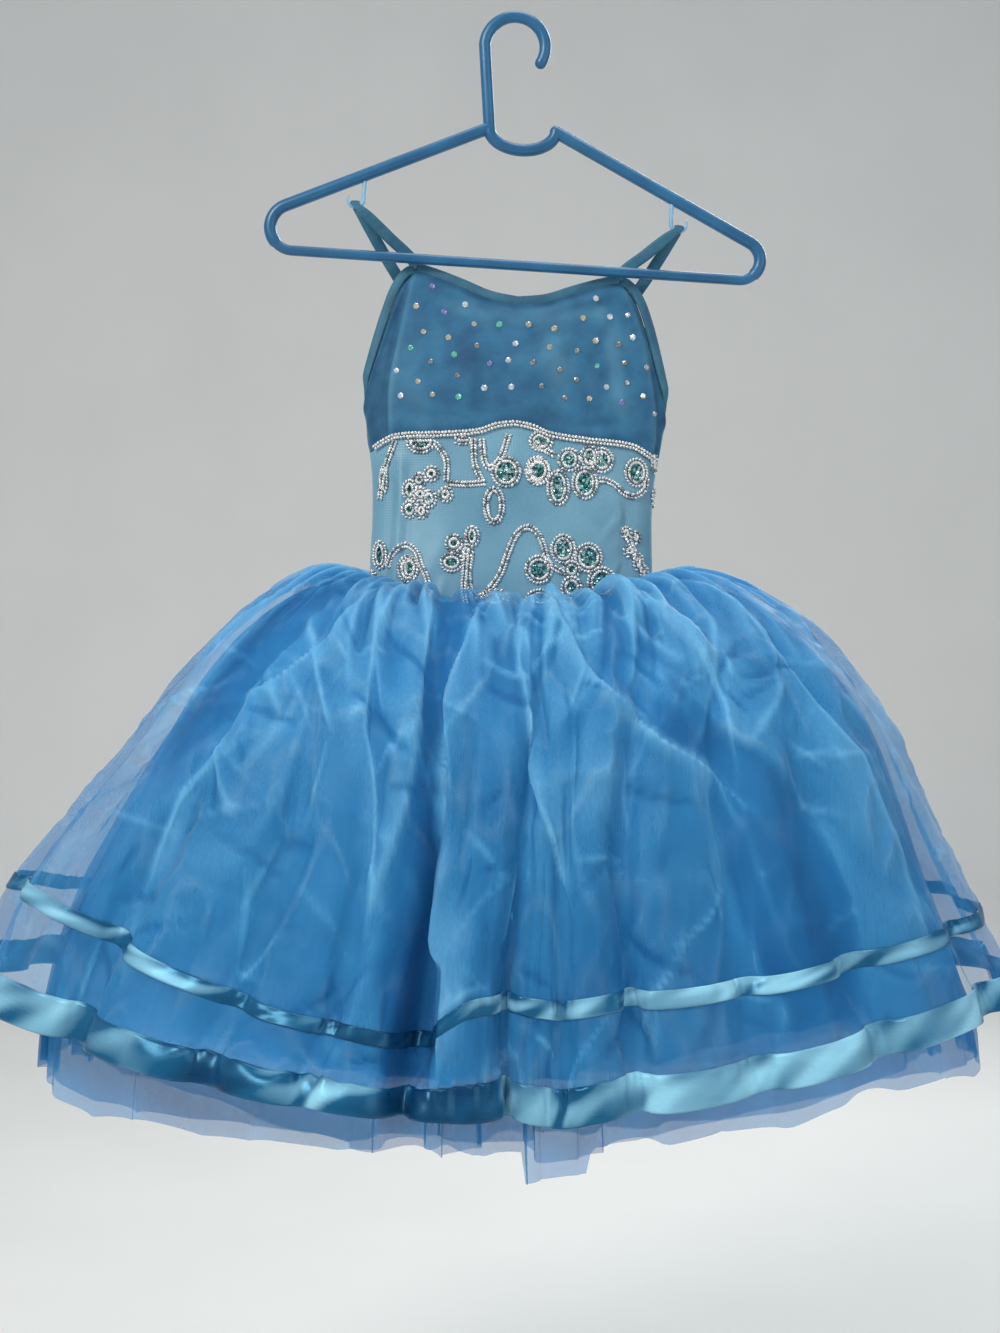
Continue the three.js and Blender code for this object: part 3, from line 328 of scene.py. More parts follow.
def cloth(name, dark, light, rough, scale=9, pitch=0.0006, strength=0.3, distance=0.0004, stretch=(1, 1, 1),
          creases_and_highlight=None, tones_and_shading=None, **shader):
    """Cloth with a weave of some pitch, or without it crossing creases with a painted highlight along their
    ridges, and a chart of tones that holds painted shade and painted highlights.
    """
    m, b = material(name, light, rough, **shader)
    v = position(m, stretch)
    napped = strength > 0.26
    fac, colour = mottled(m, b, dark, light, scale, v, 4 if napped else 1)
    if pitch:
        height = weave(m, position(m), pitch)
        if napped:
            fine = noise(m, v, 90, 4)
            height = add_node(m, "Mix", {"Factor": 0.5, "A": height, "B": fine}).outputs["Result"]
        feed(b.inputs["Normal"], bumped(m, height, strength, distance))
        feed(b.inputs["Roughness"], mapped(m, fac, rough - 0.07, rough + 0.07))
    elif creases_and_highlight:
        feed(b.inputs["Normal"], crumpled(m, b, colour, *creases_and_highlight))
    if tones_and_shading:
        charted_tone_and_shading(m, b, *tones_and_shading)
    return m


# the pale colour with the organza's creases is a painted highlight; its chart runs from painted shade to
# painted highlight
ORGANZA = cloth("organza", (0.036, 0.290, 0.630), (0.090, 0.420, 0.760), 0.55, 14, 0, 0.2,
                creases_and_highlight=(27, 0.0042, (0.42, 0.78, 1.00), 0.5),
                tones_and_shading=((0.001, 0.150, 0.520), (0.036, 0.310, 0.660), (0.210, 0.600, 0.920), 0.62, 0.22, 0.70),
                Sheen_Weight=0.28, Sheen_Roughness=0.35, Sheen_Tint=(0.75, 0.88, 1, 1), Specular_IOR_Level=0.35)
# the tulle's creases also carry a painted highlight in their pale colour
TULLE = cloth("blue tulle", (0.003, 0.205, 0.530), (0.010, 0.290, 0.660), 0.75, 12, 0, 0.2,
              creases_and_highlight=(14, 0.004, (0.05, 0.36, 0.78), 0.3), Alpha=0.55, Sheen_Weight=0.15,
              Sheen_Tint=(0.5, 0.75, 1, 1))
# the inner and innermost tulle are darker than the outer: painted shade inside the skirt; the innermost is also
# opaque, for the many layers stacked there
TULLE_IN_SHADE = cloth("inner tulle", (0.004, 0.150, 0.480), (0.010, 0.230, 0.620), 0.8, 12, 0, 0.2, Alpha=0.5)
LINING_IN_SHADE = cloth("innermost tulle", (0.003, 0.110, 0.360), (0.008, 0.170, 0.480), 0.85, 9, 0, 0.2)
# the ribbon's chart runs from painted shade to a pale painted highlight
RIBBON = cloth("satin ribbon", (0.008, 0.095, 0.220), (0.022, 0.170, 0.340), 0.28, 30, 0.0004, 0.12, 0.0002,
               stretch=(1, 1, 3),
               tones_and_shading=((0.001, 0.024, 0.085), (0.008, 0.095, 0.210), (0.400, 0.820, 1.000), 0.85, 1, 1),
               Specular_IOR_Level=0.8, Specular_Tint=(0.25, 0.70, 1, 1), Anisotropic=0.6)
# the velvet's chart runs from painted shade to painted sheen
VELVET = cloth("blue velvet", (0.004, 0.065, 0.160), (0.042, 0.205, 0.350), 0.75, 55, 0.0005, 0.35, 0.0004,
               tones_and_shading=((0.003, 0.045, 0.110), (0.016, 0.125, 0.245), (0.110, 0.300, 0.420), 0.62, 1, 1),
               Sheen_Weight=0.9, Sheen_Roughness=0.33, Sheen_Tint=(0.45, 0.80, 1, 1))
BINDING = cloth("binding tape", (0.018, 0.105, 0.185), (0.040, 0.175, 0.260), 0.6, 40, 0.0005, 0.35, 0.0003,
                Sheen_Weight=0.55, Sheen_Roughness=0.3, Sheen_Tint=(0.75, 0.92, 1, 1))
SATIN = cloth("pale satin", (0.120, 0.300, 0.410), (0.190, 0.400, 0.510), 0.42, 12, 0.0011, 0.5, 0.0004,
              Sheen_Weight=0.5, Sheen_Roughness=0.35, Sheen_Tint=(0.8, 0.95, 1, 1), Specular_IOR_Level=0.6)
THREAD = cloth("thread", (0.045, 0.170, 0.240), (0.080, 0.240, 0.310), 0.6, 200, 0.0004, 0.2, 0.0001)


def gem(name, colour, rough, metallic, **shader):
    m, b = material(name, colour, rough, Metallic=metallic, **shader)
    fac, _ = mottled(m, b, [c * 0.72 for c in colour], colour, 350, position(m), 2, 0.4, 0.6)
    feed(b.inputs["Roughness"], mapped(m, fac, max(rough - 0.05, 0.02), rough + 0.08))
    return m


SILVER = gem("silver beads", (0.93, 0.93, 0.90), 0.17, 0.35, Specular_IOR_Level=1.0)
SILVER_DARK = gem("silver beads in shade", (0.40, 0.42, 0.42), 0.2, 0.7)
TEAL = gem("teal sequins", (0.06, 0.29, 0.28), 0.16, 0.7)
# the dark sequins are painted shade and the pale ones painted glints, strewn at random among the teal
SEQUIN_SHADE = gem("dark sequins", (0.025, 0.115, 0.13), 0.2, 0.7)
SEQUIN_GLINT = gem("pale sequins", (0.50, 0.74, 0.72), 0.14, 0.6)
VIOLET = gem("violet crystal", (0.42, 0.40, 0.85), 0.08, 0.6)
CRYSTAL = gem("white crystal", (0.85, 0.90, 0.93), 0.06, 0.45, Specular_IOR_Level=1.0)
GREEN = gem("green crystal", (0.25, 0.80, 0.62), 0.08, 0.55)
AMBER = gem("amber crystal", (0.78, 0.69, 0.52), 0.08, 0.5)


def plastic(name, dark, light, rough, **shader):
    m, b = material(name, light, rough, Specular_IOR_Level=0.5, Coat_Weight=0.15, Coat_Roughness=0.2, **shader)
    v = position(m)
    fac, _ = mottled(m, b, dark, light, 25, v)
    feed(b.inputs["Roughness"], mapped(m, fac, rough - 0.06, rough + 0.1))
    feed(b.inputs["Normal"], bumped(m, noise(m, v, 420, 4), 0.12, 0.0003))
    return m


PLASTIC = plastic("blue plastic", (0.010, 0.100, 0.220), (0.016, 0.145, 0.300), 0.36)
CLEAR = plastic("clear blue plastic", (0.20, 0.50, 0.72), (0.32, 0.62, 0.82), 0.25, Alpha=0.75)


# ---------------------------------------------------------------- mesh helpers
def piece(name, verts, faces, mat, slot, nodes=(), smooth=True):
    me = bpy.data.meshes.new(name)
    me.from_pydata((np.asarray(verts, float).reshape(-1, 3) * MM).tolist(), [], faces)
    me.materials.append(mat)
    me.polygons.foreach_set("use_smooth", [smooth] * len(me.polygons))
    me.update()
    o = bpy.data.objects.new(name, me)
    bpy.context.scene.collection.objects.link(o)
    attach(o, "root")
    if nodes:
        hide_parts(*nodes)
    return o


def grid_faces(a, b, wrap_a=False, start=0, flip=False):
    """Quads of an a by b grid of points that lie b to a row."""
    i = np.arange(a if wrap_a else a - 1)[:, None]
    j = np.arange(b - 1)[None, :]
    k = (i + 1) % a
    corners = np.broadcast_arrays(i * b + j, k * b + j, k * b + j + 1, i * b + j + 1)
    q = np.stack(corners, -1).reshape(-1, 4) + start
    return (q[:, ::-1] if flip else q).tolist()


def shell(outer, inner):
    """Closed cloth from two open grids of points, outside and inside."""
    a, b = outer.shape[:2]
    verts = np.concatenate([outer.reshape(-1, 3), inner.reshape(-1, 3)])
    faces = grid_faces(a, b) + grid_faces(a, b, start=a * b, flip=True)
    rim = [(i, 0) for i in range(a)] + [(a - 1, j) for j in range(1, b)]
    rim += [(i, b - 1) for i in range(a - 2, -1, -1)] + [(0, j) for j in range(b - 2, 0, -1)]
    ids = [i * b + j for i, j in rim]
    for p, q in zip(ids, ids[1:] + ids[:1]):
        faces.append([q, p, p + a * b, q + a * b])
    return verts, faces


def ring_normals(P):
    """Outward directions of a grid that closes round its first axis."""
    return unit(np.cross(np.gradient(P, axis=1), np.roll(P, -1, 0) - np.roll(P, 1, 0)))


def sweep(line, wide, out, section):
    """A bar through points; section holds [across, out] pairs for each of them."""
    line, wide, out, section = (np.asarray(v, float) for v in (line, wide, out, section))
    n, k = section.shape[:2]
    ring = line[:, None] + wide[:, None] * section[..., :1] + out[:, None] * section[..., 1:]
    faces = []
    for i in range(n - 1):
        for j in range(k):
            l = (j + 1) % k
            faces.append([i * k + j, i * k + l, (i + 1) * k + l, (i + 1) * k + j])
    return ring.reshape(-1, 3), faces + [list(range(k))[::-1], [(n - 1) * k + j for j in range(k)]]


def joined(parts):
    verts, faces, at = [], [], 0
    for v, f in parts:
        v = np.asarray(v, float).reshape(-1, 3)
        verts.append(v)
        faces += [[i + at for i in q] for q in f]
        at += len(v)
    return np.concatenate(verts), faces


def tangents(line):
    return unit(np.gradient(np.asarray(line, float), axis=0))


def resample(points, step):
    """Smooth curve through points, at even steps."""
    p = np.asarray(points, float)
    t = np.r_[0, np.cumsum(np.linalg.norm(np.diff(p, axis=0), axis=1))]
    fine = np.linspace(0, t[-1], 40 * len(p))
    q = np.stack([hermite(np.stack([t, p[:, c]], 1), 1, fine) for c in range(p.shape[1])], 1)
    s = np.r_[0, np.cumsum(np.linalg.norm(np.diff(q, axis=0), axis=1))]
    at = np.linspace(0, s[-1], max(int(round(s[-1] / step)), 1) + 1)
    return np.stack([np.interp(at, s, q[:, c]) for c in range(q.shape[1])], 1)


def copies(template, places, axes, sizes):
    """Many copies of a small mesh. axes is [n, 3, 3] with rows across, along, out; sizes is [n, 3]."""
    tv, tf = template
    places, axes, sizes = np.asarray(places, float), np.asarray(axes, float), np.asarray(sizes, float)
    verts = places[:, None] + np.einsum("vk,nk,nkc->nvc", tv, sizes, axes)
    base = (np.arange(len(places)) * len(tv))[:, None]
    faces = []
    for f in tf:
        faces += (base + np.asarray(f)[None]).tolist()
    return verts.reshape(-1, 3), faces


def ball(segments, rings):
    """A round mesh, 1 in radius."""
    v = [(0, 0, 1)]
    round_ = [TAU * s / segments for s in range(segments)]
    for r in range(1, rings):
        a = math.pi * r / rings
        v += [(math.sin(a) * math.cos(q), math.sin(a) * math.sin(q), math.cos(a)) for q in round_]
    v.append((0, 0, -1))
    f = [[0, 1 + s, 1 + (s + 1) % segments] for s in range(segments)]
    for r in range(rings - 2):
        a, b = 1 + r * segments, 1 + (r + 1) * segments
        f += [[a + s, b + s, b + (s + 1) % segments, a + (s + 1) % segments] for s in range(segments)]
    last, a = len(v) - 1, 1 + (rings - 2) * segments
    f += [[last, a + (s + 1) % segments, a + s] for s in range(segments)]
    return np.array(v), f


BEAD = ball(6, 4)


def crease(x, z, x0, z0, x1, z1, width, depth):
    """A soft trough (depth below 0) or ridge from one place to another."""
    dx, dz = x1 - x0, z1 - z0
    length = math.hypot(dx, dz)
    t = ((x - x0) * dx + (z - z0) * dz) / length**2
    d = ((x - x0) * dz - (z - z0) * dx) / length
    taper = np.sin(np.pi * (0.08 + 0.84 * np.clip(t, 0, 1))) ** 0.7 * ((t > -0.08) & (t < 1.08))
    past = np.maximum(np.maximum(-t, t - 1), 0) * length
    return depth * taper * np.exp(-(d * d + past * past) / width**2)


# ---------------------------------------------------------------- skirt
CREASES = [  # round, along, round, along, width, depth: the front's follow the photo, the rest are alike
    (-16, 20, -34, 158, 7, -5), (-34, 158, -38, 300, 9, -5), (-13, 20, -22, 152, 6, 4),
    (-22, 152, -29, 336, 8, -6), (-29, 336, -31, 470, 9, 4), (-5, 20, -19, 178, 7, 5),
    (-19, 178, -14, 400, 8, 5), (0, 15, -1, 130, 6, -5), (-1, 130, 15, 328, 8, -7), (6, 20, 13, 132, 6, 4),
    (13, 132, 49, 274, 8, -8), (16, 20, 30, 154, 7, -5), (30, 154, 49, 300, 9, 6),
    (-52, 138, -68, 300, 10, -6), (-40, 100, -53, 330, 9, 5), (-70, 196, -46, 190, 5, 3),
    (-69, 380, -69, 450, 6, 6), (29, 90, 50, 186, 9, 6), (50, 186, 67, 368, 10, -6),
    (46, 80, 70, 258, 8, -5), (-12, 120, -14, 320, 7, -4), (10, 184, 25, 380, 8, 5),
    (25, 300, 33, 470, 7, -4), (-47, 300, -58, 460, 8, -5), (36, 330, 22, 440, 6, 4),
    (58, 300, 44, 420, 7, -4), (75, 120, 84, 330, 10, -6), (-85, 140, -92, 360, 10, -6),
    (98, 60, 104, 300, 9, 6), (120, 80, 112, 330, 9, -7), (133, 120, 146, 380, 9, 6),
    (155, 40, 150, 260, 8, -6), (168, 120, 177, 400, 9, 7), (-172, 60, -165, 300, 8, -6),
    (-150, 140, -158, 380, 9, 6), (-132, 50, -140, 300, 9, -6), (-116, 120, -108, 360, 9, 6),
    (-100, 40, -104, 220, 7, -5), (3, 240, 38, 250, 6, 2.5), (-45, 260, -20, 300, 6, 2.5),
    (-60, 330, -36, 350, 6, -2.5), (40, 380, 62, 360, 6, 2.5), (52, 420, 70, 400, 6, -2.5),
    (-8, 340, 10, 420, 5, -3), (88, 300, 110, 320, 6, 2.5), (140, 300, 165, 320, 6, 2.5),
    (-130, 300, -150, 330, 6, -2.5)]
NARROW, WIDE = (398, 410.7), (457, 487)  # along, the ribbons' upper and lower edges
# along, mm round the skirt to a degree
PER_DEGREE = [(0, 1.7), (60, 2.7), (120, 3.7), (240, 4.9), (400, 5.9), (600, 6.4)]


def skirt_grid(layer, n_round, n_along, detail, hem, sunk=0.0):
    """Points of a layer from the waist to its hem table, with their outward directions, round and along."""
    r = np.linspace(-180, 180, n_round, endpoint=False)[:, None]
    a = np.interp(r, *np.array(hem, float).T) * np.linspace(0, 1, n_along) ** ROW_SPREAD
    r = np.broadcast_to(r, a.shape)
    P = skirt(r, a, layer)
    N = ring_normals(P)
    return P + N * (detail(r, a) - sunk * ramp(a, 0, 60))[..., None], N, r, a


def crinkle(r, a, seed, fine, coarse):
    """Crisp uneven creases of a stiff sheer cloth."""
    x = (r + 180) / 360
    bend = value_noise(x * 40, a / 60, seed, 40)
    calm = ramp(a, 20, 110)
    lines = ridges(x * 150 + 2.2 * bend, a / 34 + 1.6 * bend, seed + 1, 7, 150)
    lines2 = ridges(x * 110 - 1.7 * bend, a / 26 - x * 30, seed + 2, 8, 110)
    broad = value_noise(x * 64, a / 70, seed + 3, 64) - 0.5
    patches = ramp(value_noise(x * 26, a / 90, seed + 4, 26), 0.3, 0.7)
    return calm * (fine * patches * (lines + 0.8 * lines2) + coarse * broad * 2)


def gathers(r, a, seed, height, k=84, reach=150):
    """Small pleats that fade out below the waist seam."""
    x = (r + 180) / 360
    jitter = value_noise(x * k, a / 80, seed, k)
    pleat = np.sin(TAU * (x * k + 0.9 * jitter))
    uneven = 0.45 + 1.1 * value_noise(x * k / 2, a / 300, seed + 1, k // 2)
    return height * pleat * uneven * ramp(a, 1, 14) * (1 - ramp(a, 26, reach + 60 * jitter))


# edge as round, along pairs; side raised (1 right of it, -1 left); width mm; rise mm; how much paler the raised
# side is where the cloth lies doubled
PLEATS = [
    ([(-20, 60), (-21, 106), (-26.5, 214), (-28, 259), (-29.5, 299), (-30.5, 333)], -1, 30, 5.0, 0.20),
    ([(-8, 60), (-11, 104), (-18, 186), (-23.5, 240), (-24, 275), (-19.5, 317), (-13, 361), (-12.5, 440)],
     1, 44, 6.0, 0.26),
    ([(1, 50), (0, 82), (-2, 160), (0.5, 212), (8, 263), (13, 301), (19, 335)], 1, 34, 5.0, 0.24),
    ([(7, 60), (10.5, 104), (16, 156), (23.5, 188), (32.5, 216), (39.5, 240), (49.5, 275)], -1, 26, 4.5, 0.22),
    ([(27, 40), (30.5, 82), (38, 140), (44.5, 194), (48, 253)], 1, 24, 3.5, 0.20),
    ([(-30, 60), (-32, 110), (-34.5, 166), (-36.5, 214), (-32.5, 291), (-29, 319)], -1, 26, 3.5, 0.20),
    ([(-38, 50), (-44.5, 136), (-57.5, 200), (-65, 285), (-62.5, 359)], 1, 30, 3.0, 0.18),
    ([(52, 60), (62, 182), (67.5, 257), (68.5, 333), (67.5, 400)], -1, 30, 3.5, 0.18)]
HOLLOWS = [  # along, left round, right round: where the sheer cloth lies single over the tulle, sunk a little, thinner, and darker with painted shade
    [(20, -17, -8), (106, -21, -11), (214, -26, -21), (259, -28, -23), (299, -29.5, -21.5), (361, -29, -13.5),
     (440, -26, -13)],
    [(190, 26, 38), (240, 41, 52), (300, 44, 60), (360, 46, 62), (430, 50, 60)],
    [(60, -62, -46), (130, -66, -50), (200, -70, -60), (260, -72, -66)]]


def per_degree(a):
    return np.interp(a, *np.array(PER_DEGREE).T)


def pleated(r, a):
    """Overlapping folds with one sharp edge: height, and a tone that is paler where the cloth lies doubled,
    with a painted highlight along each edge and painted shade in the hollows; the front ones repeated loosely
    behind.
    """
    high, tone_and_shading = np.zeros(np.shape(a)), np.zeros(np.shape(a))
    for behind in (False, True):
        rr = turn(188 - 1.07 * r) if behind else turn(r)
        for line, side, width, rise, shade in PLEATS:
            q = np.array(line, float)
            off = side * (rr - np.interp(a, q[:, 1], q[:, 0])) * per_degree(a)
            ends = ramp(a, q[0, 1] - 40, q[0, 1] + 20) * (1 - ramp(a, q[-1, 1] - 30, q[-1, 1] + 25))
            body = ramp(off, -1.6, 1.4) * (1 - ramp(off, 0.2 * width, width)) * ends
            high = high + rise * body
            # paler where the cloth lies doubled, and a painted highlight along the sharp edge
            tone_and_shading = tone_and_shading + shade * body + 0.36 * np.exp(-((off - 1.2) / 2.3) ** 2) * ends
        for rows in HOLLOWS:
            q = np.array(rows, float)
            left, right = np.interp(a, q[:, 0], q[:, 1]), np.interp(a, q[:, 0], q[:, 2])
            k = per_degree(a)
            ends = ramp(a, q[0, 0] - 20, q[0, 0] + 40) * (1 - ramp(a, q[-1, 0] - 30, q[-1, 0] + 40))
            inside = ramp((rr - left) * k, -2, 10) * ramp((right - rr) * k, -2, 10) * ends
            # painted shade in the hollows, which also makes the cloth thinner there
            tone_and_shading, high = tone_and_shading - 0.55 * inside, high - 3.0 * inside
    return high, tone_and_shading


def hand_creases(r, a, share=1.0):
    x, d = turn(r), 0.0
    for r0, a0, r1, a1, width, depth in CREASES:
        mid = 0.5 * (r0 + r1)
        w0, w1 = per_degree(np.array([a0, a1]))
        d = d + crease(turn(x - mid) * per_degree(a), a, (r0 - mid) * w0, a0, (r1 - mid) * w1, a1,
                       max(width * share, 2.3), depth)
    return d


def strewn(r, a, seed, count, width, size):
    """Short straight creases at every slant, as a crisp cloth keeps them."""
    rng = np.random.default_rng(seed)
    out = np.zeros(a.shape)
    for _ in range(count):
        mid, at = rng.uniform(-180, 180), rng.uniform(60, 470)
        half, slant = rng.uniform(7, 34), rng.uniform(0, math.pi)
        wide, tall = width * rng.uniform(0.7, 1.5), size * rng.uniform(0.4, 1.3) * rng.choice([-1, 1, 1])
        dx, dz = half * math.cos(slant), 1.2 * half * math.sin(slant)
        near = np.abs(turn(r[:, 0] - mid)) * per_degree(at) < 1.4 * half + 9
        off = turn(r[near] - mid) * per_degree(a[near])
        out[near] += crease(off, a[near], -dx, at - dz, dx, at + dz, wide, tall)
    return out


def pulls(r, a, seed, count, width, size):
    """Creases that run down from the waist seam."""
    rng = np.random.default_rng(seed)
    out = np.zeros(a.shape)
    for _ in range(count):
        top, lean, low = rng.uniform(-180, 180), rng.normal(0, 4), rng.uniform(50, 200)
        wide, tall = width * rng.uniform(0.7, 1.4), size * rng.uniform(0.4, 1.3) * rng.choice([-1, 1])
        near = np.abs(turn(r[:, 0] - top)) < abs(lean) + 9
        off = turn(r[near] - top) * per_degree(a[near])
        out[near] += crease(off, a[near], 0, 6, lean * per_degree(low), low, wide, tall)
    return out


def overskirt_detail(r, a):
    """mm that the cloth stands off the solid's form; the last part is the ribbons' pucker."""
    d = (2.2 + gathers(r, a, 11, 1.5) + gathers(r, a, 17, 3.4, 36, 230) + crinkle(r, a, 21, 1.1, 2.6)
         + strewn(r, a, 61, 420, 4.4, 1.8) + pulls(r, a, 71, 150, 3.8, 2.2))
    d = d + 0.8 * hand_creases(r, a) + pleated(r, a)[0]
    for at, reach, pitch, size in ((NARROW[0], 10, 2.6, 0.8), (WIDE[0], 12, 3.1, 1.1)):
        wave = np.sin(TAU * (r / pitch + 0.8 * value_noise((r + 180) / 3, a / 40, 31, 120)))
        d = d + size * wave * np.exp(-((a - at) / reach) ** 2)
    return d


def overskirt_tone_and_shading(r, a):
    """From painted shade (0) to painted highlight (1), with plain cloth at 0.5; also random tone, and darker
    towards the hem.
    """
    x = (r + 180) / 360
    # pleat edges and hollows, then painted highlights on the hand creases' ridges and painted shade in their
    # troughs
    t = 0.5 + pleated(r, a)[1] + 0.028 * np.maximum(hand_creases(r, a, 0.4), -2)
    t = t + 0.34 * (value_noise(x * 30, a / 120, 91, 30) - 0.5)
    t = t + 0.10 * np.cos(TAU * x * 2) * ramp(a, 300, 60)
    # painted highlights and painted shade along the strewn creases, the pulls and the gathers
    t = t + strewn(r, a, 61, 420, 2.4, 0.36) + strewn(r, a, 67, 300, 9.0, 0.12)
    t = t + pulls(r, a, 71, 150, 2.4, 0.34)
    t = t + 0.10 * (1 - ramp(a, 60, 300)) * ramp(np.abs(turn(r)), 8, 40)
    t = t + 0.09 * gathers(r, a, 11, 1.5) + 0.045 * gathers(r, a, 17, 3.4, 36, 230)
    t = t - 0.10 * ramp(a, 300, 420)
    return np.clip(t, 0, 1)


def set_tone_and_shading(o, values):
    """Gives the mesh its chart of tones and painted shading, one for each point."""
    layer = o.data.attributes.new("tone_and_shading", "FLOAT", "POINT")
    layer.data.foreach_set("value", values.ravel().astype(np.float32))


P_OVER, N_OVER, R_OVER, A_OVER = skirt_grid(
    "overskirt", *ORGANZA_GRID, overskirt_detail, [(-180, ORGANZA_HEM), (180, ORGANZA_HEM)])
overskirt = piece("skirt.organza", P_OVER, grid_faces(*ORGANZA_GRID, True), ORGANZA, "organza", ["overskirt"])
set_tone_and_shading(overskirt, overskirt_tone_and_shading(R_OVER, A_OVER))


def over_point(r, a, out):
    """A place on the organza, taken off its fine grid."""
    n, m = ORGANZA_GRID
    r, a = np.broadcast_arrays(np.asarray(r, float), np.asarray(a, float))
    fr = (turn(r) + 180) / 360 * n
    i = np.floor(fr).astype(int)
    u = (fr - i)[..., None]
    t = (np.clip(a, 0, ORGANZA_HEM) / ORGANZA_HEM) ** (1 / ROW_SPREAD) * (m - 1)
    j = np.minimum(np.floor(t).astype(int), m - 2)
    v = (t - j)[..., None]
    pick = lambda G: ((G[i % n, j] * (1 - u) + G[(i + 1) % n, j] * u) * (1 - v)
                      + (G[i % n, j + 1] * (1 - u) + G[(i + 1) % n, j + 1] * u) * v)
    return pick(P_OVER) + unit(pick(N_OVER)) * out[..., None]


# round, painted highlight (1) or painted shade (-1): the satin's sheen as it lies at the front, and repeated
# behind
NARROW_SHEEN_AND_SHADE = [
    (-90, -.3), (-76, .2), (-68, .5), (-60, .2), (-55, .5), (-50, -.1), (-44, -.4), (-38, -.1), (-32, -.6),
    (-24, -.7), (-14, -.9), (-12, 0), (-6, .1), (0, .5), (4, -.1), (9, .2), (13, .7), (17, .1), (21, .9),
    (24, .5), (30, .7), (36, .6), (42, .8), (50, .5), (56, .6), (62, 0), (66, .4), (70, -.2), (80, .1),
    (90, -.2)]
WIDE_SHEEN_AND_SHADE = [
    (-90, 0), (-80, -.4), (-72, .5), (-66, .7), (-60, -.2), (-54, .4), (-48, -.6), (-42, -.4), (-36, .3),
    (-31, .6), (-27, .1), (-24, -.5), (-20, .4), (-17, -.6), (-10, -.8), (-3, -.6), (0, .8), (3, .2),
    (12, .4), (18, .1), (26, .5), (34, .9), (40, .4), (46, .8), (54, 1), (60, .6), (68, .8), (76, .3),
    (90, 0)]


def ribbon(node, top, low, pitch, swell, seed, tones_and_shading):
    """A satin ribbon round the organza, puffed a little between its stitches."""
    n, m = 900, 10
    r = np.linspace(-180, 180, n, endpoint=False)[:, None]
    t = np.linspace(0, 1, m)[None, :]
    a = top + (low - top) * t
    x = (r + 180) / 360
    k = int(360 / pitch)
    wave = np.sin(TAU * (x * k + 1.3 * value_noise(x * k / 2, t * 1.5, seed, k // 2)))
    slow = value_noise(x * 60, t * 1.2, seed + 1, 60) - 0.5
    out = 1.0 + swell * (0.75 * wave * np.exp(-t / 0.4) + 0.35)
    out = np.maximum(out + 3.6 * swell * slow * t + 0.5 * swell * np.sin(np.pi * t), 0.35)
    P = over_point(np.broadcast_to(r, out.shape), np.broadcast_to(a, out.shape), out)
    Q = P - ring_normals(P) * 0.35
    ring = np.concatenate([P, Q[:, ::-1]], 1)
    k2 = 2 * m
    faces = grid_faces(n, k2, True)
    faces += [[i * k2 + k2 - 1, ((i + 1) % n) * k2 + k2 - 1, ((i + 1) % n) * k2, i * k2] for i in range(n)]
    o = piece(f"skirt.{node}", ring, faces, RIBBON, "satin_ribbon", [node])
    # painted sheen: the charted highlights and shade, random painted streaks, and a painted highlight along the
    # puffed middle
    q = np.array(tones_and_shading, float)
    front = np.interp(r, q[:, 0], q[:, 1]) * ramp(90 - np.abs(r), 0, 12)
    behind = np.interp(turn(180 - r), q[:, 0], q[:, 1]) * ramp(np.abs(r) - 90, 0, 12)
    sheen_streak = value_noise(x * 140 + 1.6 * t, t * 1.5, seed + 2, 140) - 0.5
    tone_and_shading = np.clip(0.40 + 0.50 * (front + behind) + 0.60 * sheen_streak + 0.10 * np.sin(np.pi * t), 0, 1)
    set_tone_and_shading(o, np.concatenate([tone_and_shading, tone_and_shading[:, ::-1]], 1))


ribbon("ribbon_narrow", *NARROW, 2.6, 0.55, 41, NARROW_SHEEN_AND_SHADE)
ribbon("ribbon_wide", *WIDE, 3.3, 0.9, 43, WIDE_SHEEN_AND_SHADE)
HEM_STEPS = np.array([5.0, 21.7])  # round, where the outer tulle's hem steps down and up again


def tulle_detail(seed, strong):
    """mm that the tulle stands off the solid's form."""
    def detail(r, a):
        x = (r + 180) / 360
        k = 46 + seed % 7
        waves = np.sin(TAU * (x * k + 1.4 * value_noise(x * 23, a / 260, seed, 23)))
        uneven = value_noise(x * 23, a / 400, seed + 1, 23)
        return (gathers(r, a, seed + 2, 1.2) + ramp(a, 60, 480) * strong * (waves * uneven - 0.6)
                + 3 * (value_noise(x * 90, a / 45, seed + 3, 90) - 0.5) * ramp(a, 20, 120))
    return detail


def raw_hem(table, seed, uneven, short=0):
    """A cut edge that wanders a little, its steps kept sharp, and ends some mm short of the table."""
    rounds = np.linspace(-180, 180, 145)
    wander = value_noise(np.arange(145) * 0.5, 0.3, seed, 72) - 0.5
    near_step = np.min(np.abs(rounds[:, None] - HEM_STEPS), axis=1) < 2.5
    low = np.interp(rounds, *np.array(table, float).T) + np.where(near_step, 0, wander * uneven)
    steps = [row for row in table if np.min(np.abs(row[0] - HEM_STEPS)) < 1]
    return [(q, v - short) for q, v in sorted([*zip(rounds.tolist(), low.tolist()), *steps])]


